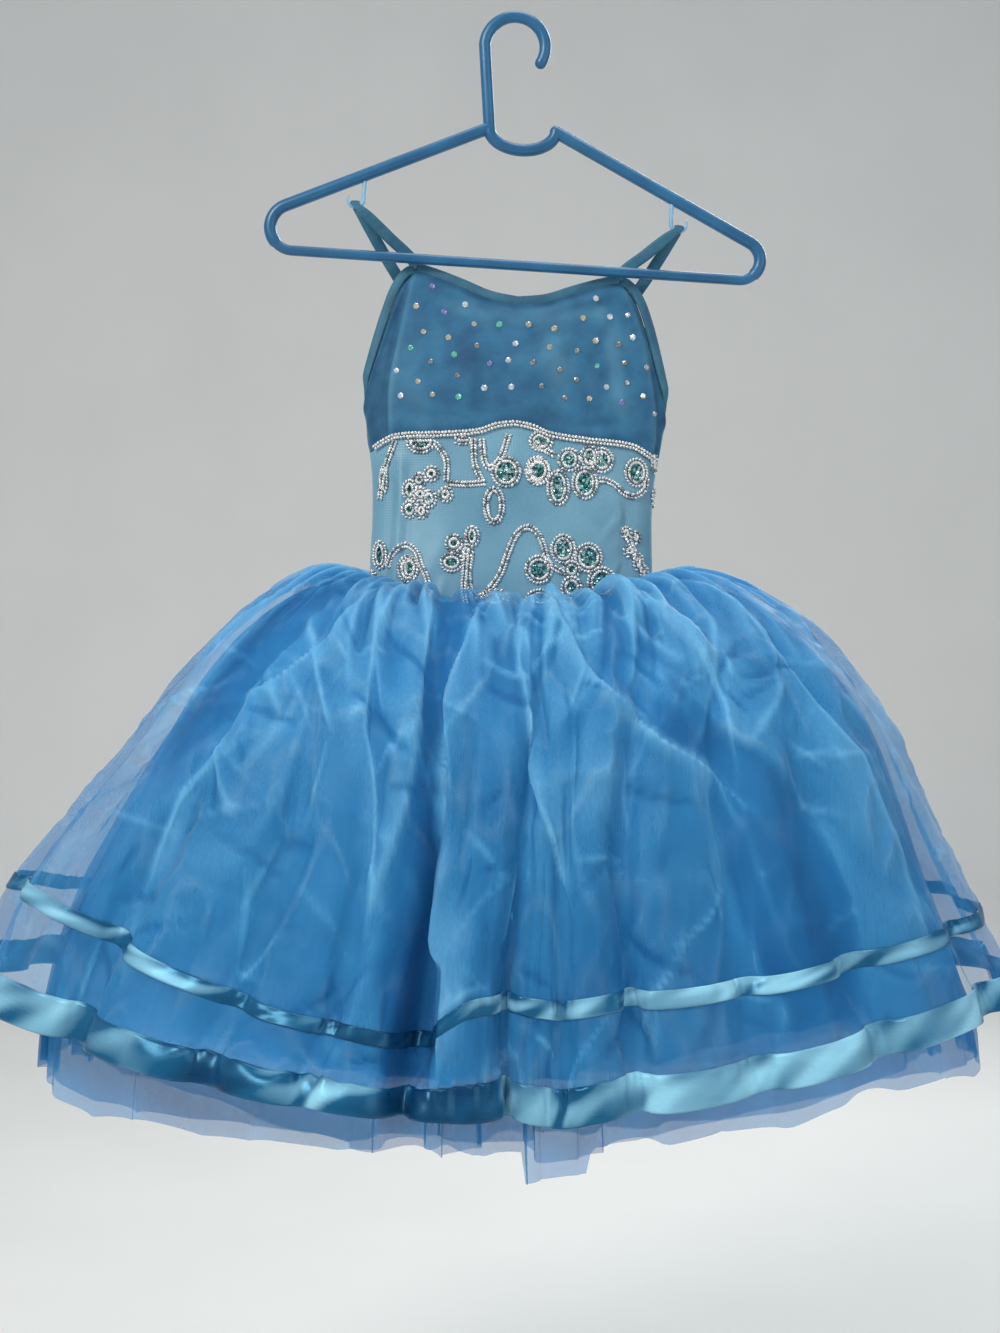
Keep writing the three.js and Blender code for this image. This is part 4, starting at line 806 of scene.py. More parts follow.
SMOOTH_HEM = [row for row in TULLE_OUTER_HEM if not 4.5 < row[0] < 22]
for name, layer, mat, n, m, seed, strong, hem, sunk in (
        ("tulle.outer_a", "tulle_outer", TULLE, 560, 64, 51, 5, raw_hem(TULLE_OUTER_HEM, 1, 8), 6),
        ("tulle.outer_b", "tulle_outer", TULLE, 460, 56, 57, 6, raw_hem(SMOOTH_HEM, 2, 14, 9), 9),
        ("tulle.inner_a", "tulle_inner", TULLE_IN_SHADE, 420, 50, 63, 5, raw_hem(TULLE_INNER_HEM, 3, 12), 8),
        ("tulle.inner_b", "tulle_inner", LINING_IN_SHADE, 400, 44, 71, 6, raw_hem(TULLE_INNER_HEM, 4, 14, 62), 13)):
    P = skirt_grid(layer, n, m, tulle_detail(seed, strong), hem, sunk)[0]
    o = piece(name, P, grid_faces(n, m, True), mat, "blue_tulle", [layer])

# ---------------------------------------------------------------- bodice
# z, left x, right x: where the front turns to the side
SIDE_LINE = [(-345, 108, 121), (-311, 106, 117), (-281, 102, 112), (-251, 97, 104), (-215, 90, 91)]
VELVET_CREASES = [  # x, z, x, z, width, depth
    (84, -222, 40, -262, 7, -2.6), (86, -228, 58, -300, 6, -2.2), (80, -220, 20, -244, 5, 1.8),
    (-80, -222, -46, -270, 7, -2.0), (-84, -230, -74, -300, 6, 1.7), (-40, -248, 34, -252, 9, 1.8),
    (-96, -330, -60, -338, 5, -1.6), (90, -335, 50, -340, 5, -1.8), (10, -262, 30, -330, 9, -1.8),
    (-30, -268, -44, -330, 9, 1.6), (72, -232, 66, -330, 5, 1.6), (60, -240, 14, -300, 7, 1.5)]


def inside_sides(X, Z):
    return np.where(X < 0, hermite(SIDE_LINE, 1, Z), hermite(SIDE_LINE, 2, Z)) - np.abs(X)


def velvet_out(X, Z):
    """mm that the yoke's velvet stands off the solid; the ones below do the same for their panels."""
    inside = inside_sides(X, Z)
    d = 1.9 * ramp(inside, -1.5, 4) - 1.3 * np.exp(-((inside + 3) / 2.5) ** 2)
    below = edge(FRONT_EDGE, X) - Z
    d = d + 1.5 * np.exp(-((below - 8) / 6) ** 2) - 1.6 * np.exp(-(below / 2.6) ** 2)
    for c in VELVET_CREASES:
        d = d + crease(X, Z, *c)
    d = d + 1.3 * (value_noise(X / 34, Z / 30, 81) - 0.5)
    return d * ramp(Z - edge(BUST_SEAM, X), 0, 8) - 0.1


VELVET_SHEEN_AND_SHADE = [  # x, z, x, z, width, painted sheen (above 0) or painted shade (below 0): how the pile catches the light
    (24, -243, 45, -340, 10, .28), (72, -240, 92, -340, 7, .30), (-75, -238, -2, -250, 7, .22),
    (-2, -250, 78, -238, 6, .25), (-42, -266, -32, -326, 17, -.26), (4, -330, 58, -333, 9, -.24),
    (-92, -300, -76, -343, 12, .20), (58, -262, 64, -320, 7, -.22), (-104, -262, -108, -340, 7, .16),
    (0, -290, 10, -310, 14, -.14), (-70, -262, -60, -300, 9, .14)]


def velvet_tone_and_shading(X, Z):
    inside = inside_sides(X, Z)
    t = 0.5 + sum(crease(X, Z, *c) for c in VELVET_SHEEN_AND_SHADE) + 0.24 * (value_noise(X / 22, Z / 26, 85) - 0.5)
    # a painted highlight along the front's raised side edge, and a painted shadow just under the neck binding
    t = t + 0.20 * np.exp(-((inside - 2) / 2.5) ** 2) - 0.30 * (1 - ramp(edge(FRONT_EDGE, X) - Z, 0, 5))
    # darker beyond the side line: painted shade on the sides
    return np.clip(t * (0.25 + 0.75 * ramp(inside, -2, 1)), 0, 1)


def velvet_back_tone(X, Z):
    return np.clip(0.42 + 0.5 * (value_noise(X / 26, Z / 28, 86) - 0.5), 0, 1)


def cloth_panel(name, mat, slot, angle_of, low, high, across, rows, thick, out, tone_and_shading=None):
    """Closed cloth over a panel, from one side seam to the other and between two edges."""
    a = np.radians(np.linspace(-89.93, 89.93, across))
    X = np.repeat(FLAT_HALF * np.sign(a) * np.abs(np.sin(a)) ** (2 / BOXINESS), rows).reshape(across, rows)
    Z = low(X) + (high(X) - low(X)) * np.linspace(0, 1, rows)
    angle, d = angle_of(X), out(X, Z)
    verts, faces = shell(bodice(angle, Z, d), bodice(angle, Z, d - thick))
    o = piece(name, verts, faces, mat, slot, [name.replace(".", "_")])
    if tone_and_shading:
        set_tone_and_shading(o, np.tile(tone_and_shading(X, Z).ravel(), 2))


cloth_panel("bodice.front", VELVET, "blue_velvet", front_angle, lambda x: edge(BUST_SEAM, x) + 0.3,
            lambda x: edge(FRONT_EDGE, x) + 1.6, 190, 84, 1.4, velvet_out, velvet_tone_and_shading)
BACK_CREASES = [(70, -270, 20, -310, 9, -1.8), (-70, -268, -26, -316, 9, -1.8), (0, -300, 6, -350, 10, 1.6),
                (50, -320, 90, -350, 8, 1.4), (-48, -324, -90, -352, 8, -1.3)]


def back_out(X, Z):
    d = sum(crease(X, Z, *c) for c in BACK_CREASES) + 1.2 * (value_noise(X / 36, Z / 30, 83) - 0.5)
    below = edge(BACK_EDGE, X) - Z
    d = d + 1.2 * np.exp(-((below - 8) / 6) ** 2) - 1.2 * np.exp(-(below / 2.6) ** 2)
    return d * ramp(Z, BACK_SEAM, BACK_SEAM + 8)


cloth_panel("bodice.back", VELVET, "blue_velvet", back_angle, lambda x: BACK_SEAM + 0.3 + 0 * x,
            lambda x: edge(BACK_EDGE, x) + 1.6, 150, 60, 1.4, back_out, velvet_back_tone)
MIDRIFF_CREASES = [
    (-100, -372, -104, -480, 5, 1.8), (-93, -380, -97, -470, 4, -1.5), (-108, -390, -112, -470, 4, -1.4),
    (88, -384, 102, -440, 5, 1.6), (78, -440, 98, -412, 4, 1.4), (104, -400, 98, -470, 5, -1.8),
    (84, -470, 100, -450, 4, 1.2), (0, -345, -2, -400, 6, 1.0), (-12, -350, -8, -380, 5, -0.9),
    (-60, -470, -64, -498, 4, 1.4), (-30, -478, -30, -502, 4, -1.2), (12, -478, 16, -503, 4, 1.3),
    (48, -480, 52, -502, 4, -1.3), (80, -474, 84, -497, 4, 1.3), (-88, -474, -92, -495, 4, -1.3),
    (-58, -430, -80, -476, 7, 0.8), (58, -410, 92, -436, 7, -0.9)]


def midriff_out(X, Z):
    d = sum(crease(X, Z, *c) for c in MIDRIFF_CREASES) + 0.8 * (value_noise(X / 26, Z / 34, 85) - 0.5)
    return d * ramp(edge(BUST_SEAM, X) - Z, 0, 8) - 0.1


def midriff_back_out(X, Z):
    d = sum(crease(-X * 0.9, Z, *c) for c in MIDRIFF_CREASES)
    d = d + 1.2 * (value_noise(X / 26, Z / 34, 87) - 0.5)
    return d * ramp(BACK_SEAM - Z, 0, 8)


waist = lambda middle: lambda x: -490 + (middle + 490) * (1 - (x / FLAT_HALF) ** 2)
cloth_panel("midriff.front", SATIN, "pale_satin", front_angle, waist(-505.0),
            lambda x: edge(BUST_SEAM, x) - 0.3, 170, 78, 1.0, midriff_out)
cloth_panel("midriff.back", SATIN, "pale_satin", back_angle, waist(-497.0),
            lambda x: BACK_SEAM - 0.3 + 0 * x, 140, 60, 1.0, midriff_back_out)

# ---------------------------------------------------------------- motifs on the midriff
PETALS = [  # x, z, half width, half height
    (-80, -354, 11.4, 9.2), (-45, -353.5, 7.4, 3.7), (-89, -394, 6, 8.3), (-71, -381, 6.4, 6.4),
    (-81, -386, 6, 6), (-73, -402, 6.4, 7.4), (-89, -410.5, 6.4, 7.4), (-79, -412, 5.5, 6.4),
    (-59, -398.6, 5.9, 6.4), (-9, -380, 11.4, 12), (-19, -408, 8.3, 14.7), (20, -354, 9.2, 8.3),
    (43, -369.5, 8.8, 9.2), (60, -367, 7.4, 9.2), (70, -369.5, 9.2, 10), (17, -379, 9.6, 11.4),
    (34, -393, 8.8, 13.8), (56, -389, 10, 12.5), (99, -379, 9.2, 11.4), (114.5, -371, 3.7, 7.4),
    (115, -398.6, 3.7, 7.4), (-111, -385, 3.7, 11), (-114, -448, 5.9, 11.4), (-120, -467, 3.7, 6.4),
    (-90, -460, 8.3, 11), (-52, -439, 7, 7), (-37, -433.5, 5.9, 8.3), (-54, -455, 8.8, 7.7),
    (38, -444, 9.6, 11.4), (59, -451, 10.7, 11.4), (18, -461, 10.7, 11), (45, -476, 8.3, 8.8),
    (70, -472, 11.4, 12.5), (-18, -485, 11, 7.4), (19, -485, 11, 7.4), (33.5, -487, 7, 5),
    (91, -430, 4.6, 5.5), (99, -433.5, 4.6, 5.5), (94, -445, 5.5, 5.5), (101, -454, 4.6, 7.4),
    (106, -463, 4, 6.4), (100, -478, 6.4, 5.5)]
HEARTS = [(-80, -398, 6, 6), (45, -461, 7, 7), (-42, -446, 6, 6), (17.5, -379, 9, 10), (-59, -398.6, 6, 6),
          (-89, -459.5, 7, 9)]
VINES = [  # lines of x, z
    [(-67, -356), (-59, -369), (-58.5, -386)], [(-57, -389), (-42, -390), (-27, -389)],
    [(-36, -353), (-35, -373), (-29, -387.5)],
    [(-29, -353), (-27, -371), (-23, -376.5), (-14, -369), (-7, -349)],
    [(65, -389), (70, -386), (79.5, -389), (89, -397), (98, -399), (106, -393), (108, -384)],
    [(15, -356), (22.5, -361), (30, -365.5)], [(-102, -353), (-108, -369), (-112, -384), (-114, -400)],
    [(-107, -457.5), (-103, -448), (-93, -440), (-84, -445), (-79, -457.5), (-74, -468.5), (-72, -485)],
    [(-42, -446), (-43, -461), (-44, -478), (-42, -489)],
    [(-38, -448), (-40, -465), (-38, -478), (-32, -484), (-23.5, -478), (-14, -465), (-7, -446), (-0.5, -432),
     (8, -426), (16, -430), (21.6, -441), (24, -450), (28, -457.5), (37, -463)],
    [(89, -426), (95, -440), (100, -452), (106, -464), (110, -476)]]
MOTIF_NODES = [f"applique_{n}" for n in (
    "upper_left", "top_edge", "upper_right", "left_side", "lower_left", "lower_middle", "waist_edge",
    "lower_right")]


def flat_place(x, z):
    """Where a place across and its height after the lean lie in the bodice's own across and height."""
    x, z = np.broadcast_arrays(np.asarray(x, float), np.asarray(z, float))
    half_x, centre_x, lean = (hermite(BODICE, c, z) for c in (1, 4, 5))
    return (x - centre_x) * FLAT_HALF / half_x, z + lean * (x - centre_x)


def on_midriff(x, z, out):
    x, z = flat_place(x, z)
    return bodice(front_angle(x), z, out + midriff_out(x, z))


def seam_at(x):
    return edge(BUST_SEAM, x) - 0.045 * (np.asarray(x, float) + 2)


def chart(flat_line, out):
    """Places, and across / along / out directions, for a line of [x, z] on the midriff."""
    flat = np.asarray(flat_line, float)
    P = on_midriff(flat[:, 0], flat[:, 1], out)
    up = unit(on_midriff(flat[:, 0], flat[:, 1], out + 2) - P)
    along = tangents(P)
    across = unit(np.cross(along, up))
    return P, across, along, up


def cord(flat_line, rng, pitch=2.35, lean=0.72):
    """Two rows of small beads leaning towards each other."""
    P, across, along, up = chart(resample(flat_line, pitch), 1.0)
    places, axes, sizes = [], [], []
    for side in (-1, 1):
        turned = unit(along * math.cos(lean) + across * side * math.sin(lean))
        wide = unit(np.cross(turned, up))
        places.append(P + across * side * 1.6 + rng.uniform(-0.25, 0.25, (len(P), 1)) * up)
        axes.append(np.stack([wide, turned, up], 1))
        sizes.append(np.array([[1.12, 1.85, 1.12]]) * rng.uniform(0.86, 1.14, (len(P), 1)))
    return np.concatenate(places), np.concatenate(axes), np.concatenate(sizes)


def ring_line(x, z, rx, rz):
    """An oval that stays above the waist seam and below the bust trim."""
    t = np.linspace(0, TAU, 26)
    q = np.stack([x + rx * np.sin(t), z + rz * np.cos(t)], 1)
    q[:, 1] = np.maximum(q[:, 1], -501 + 18 * (q[:, 0] / FLAT_HALF) ** 2)
    if z > -360:
        q[:, 1] = np.minimum(q[:, 1], seam_at(q[:, 0]) - 3.6)
    return q


def hexagon(radius, z, turned=0.0):
    a = [TAU * (k + turned) / 6 for k in range(6)]
    return [(radius * math.cos(q), radius * math.sin(q), z) for q in a]


SIDES_OF_SIX = [(k, (k + 1) % 6) for k in range(6)]
SEQUIN = np.array(hexagon(1, 0) + [(0, 0, -0.35)]), [[k, l, 6] for k, l in SIDES_OF_SIX]
STONE = np.array(hexagon(0.5, 0.9) + hexagon(1, 0.3, 0.5) + hexagon(0.9, -0.2)), (
    [list(range(6))] + [[k, 6 + k, l] for k, l in SIDES_OF_SIX] + [[6 + k, 6 + l, l] for k, l in SIDES_OF_SIX]
    + [[6 + k, 12 + k, 12 + l] for k, l in SIDES_OF_SIX] + [[6 + k, 12 + l, 6 + l] for k, l in SIDES_OF_SIX]
    + [list(range(12, 18))[::-1]])


def turned_axes(n, rng, across, along, up, tilt):
    """Directions for n small pieces, each spun and tipped a little."""
    spin = rng.uniform(0, TAU, n)[:, None]
    tip = rng.normal(0, tilt, (n, 2))
    a = across * np.cos(spin) + along * np.sin(spin)
    u = unit(up + across * tip[:, :1] + along * tip[:, 1:])
    a = unit(a - u * np.sum(a * u, 1, keepdims=True))
    return np.stack([a, np.cross(u, a), u], 1)


RING_SCALE = 1.1
CORD_IN, FILL_IN = 2.5, 3.9  # mm from a motif's edge to its cord's middle and to its fill
OPEN_PETAL = 10  # in PETALS: the one with no fill
FILL = np.array([(u + (round(v / 2) % 2), v) for u in np.arange(-12, 12.1, 1.75)
                 for v in np.arange(-14, 14.1, 2)])  # mm, the sequins' places before they are cut to a petal
rng = np.random.default_rng(5)
cords, fills = [], {"teal": [], "dark": [], "pale": []}
for i, (x, z, rx, rz) in enumerate(PETALS + HEARTS):
    rx, rz = RING_SCALE * rx, RING_SCALE * rz
    cords.append(cord(ring_line(x, z, max(rx - CORD_IN, 1.5), max(rz - CORD_IN, 1.5)), rng))
    inner_x, inner_z = rx - FILL_IN, rz - FILL_IN
    if i == OPEN_PETAL or min(rx, rz) < 4.2 or min(inner_x, inner_z) < 0.8:
        continue
    _, across, along, up = chart([(x - 1, z), (x + 1, z)], 0.55)
    spots = FILL[(FILL[:, 0] / inner_x) ** 2 + (FILL[:, 1] / inner_z) ** 2 < 1.0]
    spots = spots + rng.normal(0, 0.25, (1, 2))
    spots = spots[spots[:, 1] + z < seam_at(x) - 4.5]
    if not len(spots):
        continue
    # the fill mixes teal sequins with painted-shade ones and painted-glint ones
    kind = rng.choice(["teal"] * 3 + ["dark"] * 2 + ["pale"] * 3, len(spots))
    for name in fills:
        s = spots[kind == name]
        if len(s):
            at = on_midriff(x + s[:, 0], z + s[:, 1], 0.7) + rng.normal(0, 0.12, (len(s), 3))
            ax = turned_axes(len(s), rng, across[:1], along[:1], up[:1], 0.28)
            fills[name].append((at, ax, np.full((len(s), 3), 1.35)))
cords += [cord(line, rng) for line in VINES]
BEADWORK = [np.concatenate(q) for q in zip(*cords)]
dark = np.random.default_rng(9).random(len(BEADWORK[0])) < 0.22
for name, mask, mat in (("motifs.beads", ~dark, SILVER), ("motifs.beads_dark", dark, SILVER_DARK)):
    piece(name, *copies(BEAD, *(q[mask] for q in BEADWORK)), mat, "silver_beads", MOTIF_NODES)
for name, mat in (("teal", TEAL), ("dark", SEQUIN_SHADE), ("pale", SEQUIN_GLINT)):
    piece(f"motifs.sequins_{name}", *copies(SEQUIN, *(np.concatenate(q) for q in zip(*fills[name]))), mat,
          "silver_beads", smooth=False)

# ---------------------------------------------------------------- bead trim, bindings and straps
def edging(angle, z, rise, out):
    """A line along an edge of the bodice with its up and outward directions."""
    P = bodice(angle, z, out)
    normal = unit(bodice(angle, z, out + 1) - P)
    up = unit(np.cross(normal, tangents(P)))
    up = np.where(up[:, 2:] < 0, -up, up)
    return P + up * rise, up, normal


def evenly(line, *others, step):
    """The line and what goes along with it, at even steps."""
    s = np.r_[0, np.cumsum(np.linalg.norm(np.diff(line, axis=0), axis=1))]
    at = np.linspace(0, s[-1], int(round(s[-1] / step)) + 1)
    return [np.stack([np.interp(at, s, q[:, c]) for c in range(q.shape[1])], 1) for q in (line, *others)]


xs = np.linspace(-121, 121, 400)
line, up, normal = edging(front_angle(xs), edge(BUST_SEAM, xs), 0.0, 2.2)
line, up, normal = evenly(line, up, normal, step=2.85)
along = tangents(line)
rng = np.random.default_rng(12)
places = np.concatenate([line + up * 1.4, line - up * 1.4 + along * 1.4])
axes = np.concatenate([np.stack([up, along, normal], 1)] * 2)
places = places + rng.normal(0, 0.08, places.shape)
sizes = np.full((len(places), 3), 1.42) * rng.uniform(0.95, 1.04, (len(places), 1))
piece("bust_trim.beads", *copies(ball(10, 6), places, axes, sizes), SILVER, "silver_beads", ["bust_trim"])

# across, out: half round tape with two rows of stitching sunk in it, and flat tape
BINDING_SECTION = [
    (-4.0, 0.0), (-3.75, 0.75), (-3.1, 1.25), (-2.5, 1.28), (-1.9, 1.5), (-0.9, 1.68), (0.9, 1.68),
    (1.9, 1.5), (2.5, 1.28), (3.1, 1.25), (3.75, 0.75), (4.0, 0.0), (3.7, -0.9), (2.6, -1.5), (0, -1.65),
    (-2.6, -1.5), (-3.7, -0.9)]
TAPE_SECTION = [
    (-1, 0), (-0.94, 0.55), (-0.62, 0.5), (-0.5, 0.72), (0, 0.86), (0.5, 0.72), (0.62, 0.5), (0.94, 0.55),
    (1, 0), (0.94, -0.55), (0.5, -0.72), (0, -0.8), (-0.5, -0.72), (-0.94, -0.55)]


def stitches(name, rows, axes, size):
    """Stitches along rows of places that share their directions."""
    n = len(rows)
    v, f = copies(BEAD, np.concatenate(rows), np.concatenate([axes] * n), np.tile(size, (n * len(axes), 1)))
    piece(f"{name}.stitches", v, f, THREAD, "binding_tape")


def binding(name, angle, z, seed, bend=False):
    """Folded tape along an edge, with its stitches; bend smooths an edge given by few places."""
    line, up, normal = edging(angle, z, 4.6, -0.9)
    if bend:
        k, fine = np.arange(len(line)), np.linspace(0, len(line) - 1, 400)
        smooth = lambda q: np.stack([hermite(np.stack([k, q[:, c]], 1), 1, fine) for c in range(3)], 1)
        line, up, normal = smooth(line), unit(smooth(up)), unit(smooth(normal))
    line, up, normal = evenly(line, up, normal, step=1.5)
    n = len(line)
    s = np.arange(n) * 1.5
    puff = 1 + 0.10 * (value_noise(s / 7, 0.5, seed) - 0.5) + 0.05 * np.sin(TAU * s / 5.2)
    section = np.array(BINDING_SECTION)[None] * np.stack([np.ones(n), puff], 1)[:, None]
    v, f = sweep(line, up, normal, section)
    o = piece(f"{name}.tape", v, f, BINDING, "binding_tape", [name])
    line, up, normal = evenly(line, up, normal, step=2.7)
    stitches(name, [line + up * u + normal * 1.30 for u in (2.5, -2.5)],
             np.stack([up, tangents(line), normal], 1), [0.3, 0.95, 0.28])


xs = np.linspace(-85.3, 85.3, 300)
binding("neck_binding_front", front_angle(xs), edge(FRONT_EDGE, xs), 1)
xs = np.linspace(-92.3, 92.3, 300)
binding("neck_binding_back", back_angle(xs), edge(BACK_EDGE, xs), 2)
for name, side in (("left", -1), ("right", 1)):
    a = front_angle(np.array([86.7, 90, 95, 101, 106, 110, 114, 118, 121.5, 124]))
    b = back_angle(np.array([124, 121.5, 117, 112, 107, 102, 98, 93.7]))
    angle = np.r_[a, math.pi / 2, b] * side
    out_x = lambda q: FLAT_HALF * np.sin(q) ** (2 / BOXINESS)
    z = np.r_[edge(FRONT_EDGE, out_x(a)), SIDE_TOP, edge(BACK_EDGE, out_x(b))]
    binding(f"armhole_binding_{name}", angle, z, 3 + side, bend=True)

STRAPS = {  # x, y, z of the tape's middle from the front edge over the small hook to the back edge
    "left": [(-81.6, 11.7, -215.2), (-87.6, 15.3, -196.9), (-107.7, 7.6, -178.5), (-127, -3.1, -160.8),
             (-135.3, -3.1, -153.2), (-135.3, 0, -150.2), (-135.3, 3.1, -153.2), (-128.2, 3.1, -164.8),
             (-111.6, 18.6, -192.1), (-94.4, 29.8, -220.3), (-88.5, 31.4, -238.7)],
    "right": [(83.7, 11.7, -225), (89.6, 15.3, -207.4), (109.1, 7.6, -193.3), (128, -3.1, -179.8),
              (136.1, -3.1, -173.9), (136.1, 0, -170.9), (136.1, 3.1, -173.9), (129.2, 3.1, -184),
              (113.1, 18.6, -207.4), (96.5, 29.8, -231.6), (90.4, 31.4, -249.2)]}
for name, centres in STRAPS.items():
    c = np.array(centres, float)
    index = np.linspace(0, 10, 241)
    line = np.stack([hermite(np.stack([np.arange(11), c[:, k]], 1), 1, index) for k in range(3)], 1)
    away = ramp(np.abs(index - 5), 0.6, 3)[:, None]
    over = np.array([math.cos(TILT), 0, -math.sin(TILT)])
    ends = [unit((c[5] - low) * [1, 0, 1]) for low in (c[0], c[10])]
    w = np.where((index < 5)[:, None], *([p[2], 0, -p[0]] for p in ends))
    wide = unit(over * (1 - away) + w * away)
    out = unit(np.cross(tangents(line), wide))
    size = 7.4 + 2.6 * away[:, 0]
    ripple = 0.12 * np.sin(TAU * np.arange(241) / 6.0)
    section = [[[h * u, t + r * (abs(u) < 0.9)] for u, t in TAPE_SECTION] for h, r in zip(size / 2, ripple)]
    v, f = sweep(line, wide, out, section)
    o = piece(f"strap_{name}.band", v, f, BINDING, "binding_tape", [f"strap_{name}"])
    line, wide, out, size = evenly(line, wide, out, size[:, None], step=2.4)
    rows = [line + wide * u * size / 2 + out * face for face in (0.62, -0.62) for u in (0.58, -0.58)]
    stitches(f"strap_{name}", rows, np.stack([wide, tangents(line), out], 1), [0.28, 0.85, 0.24])

# ---------------------------------------------------------------- hanger
MIDDLE, HALF, BAR_Z, NECK, DIP = 11, 206.4, -203.5, 28, 17  # NECK is half the dip's width, DIP its depth
ARM_R, BAR_R, STEM_R, HOOK_R = 5.2, 4.3, 5.0, 25.5
SMALL_AT, SMALL_R, SMALL_BEND = 129.5, 1.9, 6.6  # the strap hooks' place from the middle, radius and bend
SIDES = [(-1, 24.6, 19.6), (1, 25.9, 16.8)]  # side, slope, end radius


def tilted(p):
    """Turned with the whole hanger about the rail."""
    c, s = math.cos(TILT), math.sin(TILT)
    return np.stack([p[..., 0] * c + p[..., 2] * s, p[..., 1], -p[..., 0] * s + p[..., 2] * c], -1)


def tube(points, radius, sides=18):
    """A round bar along points in the hanger's plane, with domed ends."""
    p = np.asarray(points, float)
    r = np.broadcast_to(np.asarray(radius, float), (len(p),)).copy()
    t = tangents(p)
    k = np.sin(np.linspace(0, math.pi / 2, 6)[1:])
    for _ in range(2):  # one end, then the other
        q = p[-1] + t[-1] * r[-1] * k[:, None]
        s = r[-1] * np.sqrt(np.maximum(1 - k**2, 0.0004))
        p, r, t = np.concatenate([p, q]), np.r_[r, s], np.concatenate([t, np.repeat(t[-1:], 5, 0)])
        p, r, t = p[::-1], r[::-1], -t[::-1]
    back = np.broadcast_to([0.0, 1.0, 0.0], p.shape)
    side = unit(np.cross(t, back))
    a = TAU * (np.arange(sides) + 0.5) / sides
    section = np.stack([np.cos(a), np.sin(a)], 1)[None] * r[:, None, None]
    v, f = sweep(p, side, back, section)
    return tilted(v), f


def arc(x, z, radius, start, stop, steps):
    a = np.radians(np.linspace(start, stop, steps + 1))
    return np.stack([x + radius * np.cos(a), np.zeros(steps + 1), z + radius * np.sin(a)], 1)


def arm_z(slope, end_radius, at):
    s = math.radians(slope)
    run = HALF - end_radius + end_radius * math.sin(s) - at
    return BAR_Z + end_radius * (1 + math.cos(s)) + run * math.tan(s)


halves = []
for side, slope, end_radius in SIDES:
    end = arc(HALF - end_radius, BAR_Z + end_radius, end_radius, 90 - slope, -90, 26)
    p = np.concatenate([[[NECK, 0, arm_z(slope, end_radius, NECK)]], end])
    halves.append(p * [side, 1, 1] + [MIDDLE, 0, 0])
loop = np.concatenate([halves[0], halves[1][::-1]])
rad = np.where(loop[:, 2] < BAR_Z + ARM_R, BAR_R, ARM_R)
neck_left, neck_right = (arm_z(s, e, NECK) for _, s, e in SIDES)
a = np.linspace(0, math.pi, 40)
dip_z = neck_left + (neck_right - neck_left) * a / math.pi - DIP * np.sin(a)
dip = np.stack([MIDDLE - NECK * np.cos(a), 0 * a, dip_z], 1)
stem = np.concatenate([[[MIDDLE - NECK, 0, neck_left]], arc(0, STEM_R - HOOK_R, HOOK_R, 180, -28, 60)])
v, f = joined([tube(loop, rad), tube(dip, ARM_R), tube(stem, STEM_R)])
piece("hanger.frame", v, f, PLASTIC, "hanger_plastic", ["hanger"])
hooks = []
for side, slope, end_radius in SIDES:
    x, top = MIDDLE + side * SMALL_AT, arm_z(slope, end_radius, SMALL_AT)
    curl = arc(0, top - 21, SMALL_BEND, 0, -200, 26) * [-side, 0, 1] + [x + side * SMALL_BEND, 0, 0]
    p = np.concatenate([[[x, 0, top]], curl])
    hooks.append(tube(p, SMALL_R * (1 - 0.4 * np.linspace(0, 1, len(p))), 12))
v, f = joined(hooks)
piece("hanger.strap_hooks", v, f, CLEAR, "hanger_plastic", ["hanger"])

# ---------------------------------------------------------------- rhinestones on the velvet
STONES = [  # x, z, kind: c clear, a amber, g green, v violet, s in shade
    (-71, -221, "v"), (-84, -238, "a"), (-61, -243, "v"), (-43, -237, "c"), (-35.5, -254, "a"),
    (-14.5, -254.5, "g"), (10, -254.5, "a"), (31.5, -258, "a"), (56, -248, "a"), (66.5, -231.5, "c"),
    (78.5, -246.5, "c"), (93.5, -245, "c"), (-77.5, -260.5, "a"), (-57, -265.5, "a"), (-33, -273, "s"),
    (-1, -271, "c"), (27.5, -274, "a"), (50, -277, "s"), (66, -268, "a"), (85, -271, "s"),
    (97, -264.5, "c"), (-88.5, -274, "g"), (-52, -280.5, "g"), (-71.5, -286.5, "s"), (-22.5, -288.5, "v"),
    (-7, -285.5, "c"), (13.5, -287, "s"), (36, -293.5, "s"), (67, -290, "g"), (90, -287, "s"),
    (108.5, -290, "s"), (-100, -293.5, "c"), (-49.5, -298.5, "s"), (-82, -303, "a"), (-27, -309.5, "c"),
    (-4.5, -308.5, "c"), (20.5, -307.5, "s"), (49.5, -302, "s"), (74.5, -308, "c"), (92, -304, "s"),
    (-96.5, -315, "c"), (-70, -314.5, "a"), (-48.5, -317, "g"), (39.5, -318, "s"), (60, -318, "a"),
    (87, -320.5, "v"), (105, -314.5, "a"), (114.5, -329, "s")]
KINDS = {"c": CRYSTAL, "a": AMBER, "g": GREEN, "v": VIOLET, "s": SILVER_DARK}
rng = np.random.default_rng(21)
for kind, mat in KINDS.items():
    flat = np.array([(x, z) for x, z, k in STONES if k == kind], float)
    x, z = flat_place(flat[:, 0], flat[:, 1])
    on_velvet = lambda q, out: bodice(front_angle(q), z, velvet_out(q, z) + out)
    P = on_velvet(x, 0.1)
    up = unit(on_velvet(x, 2.1) - P)
    side = unit(on_velvet(x + 1, 0) - on_velvet(x - 1, 0))
    side = unit(side - up * np.sum(side * up, 1, keepdims=True))
    size = rng.uniform(2.45, 2.95, (len(x), 1))
    v, f = copies(STONE, P, turned_axes(len(x), rng, side, np.cross(up, side), up, 0.14), size * [1, 1, 0.62])
    piece(f"bodice.stones_{kind}", v, f, mat, "silver_beads", smooth=False)

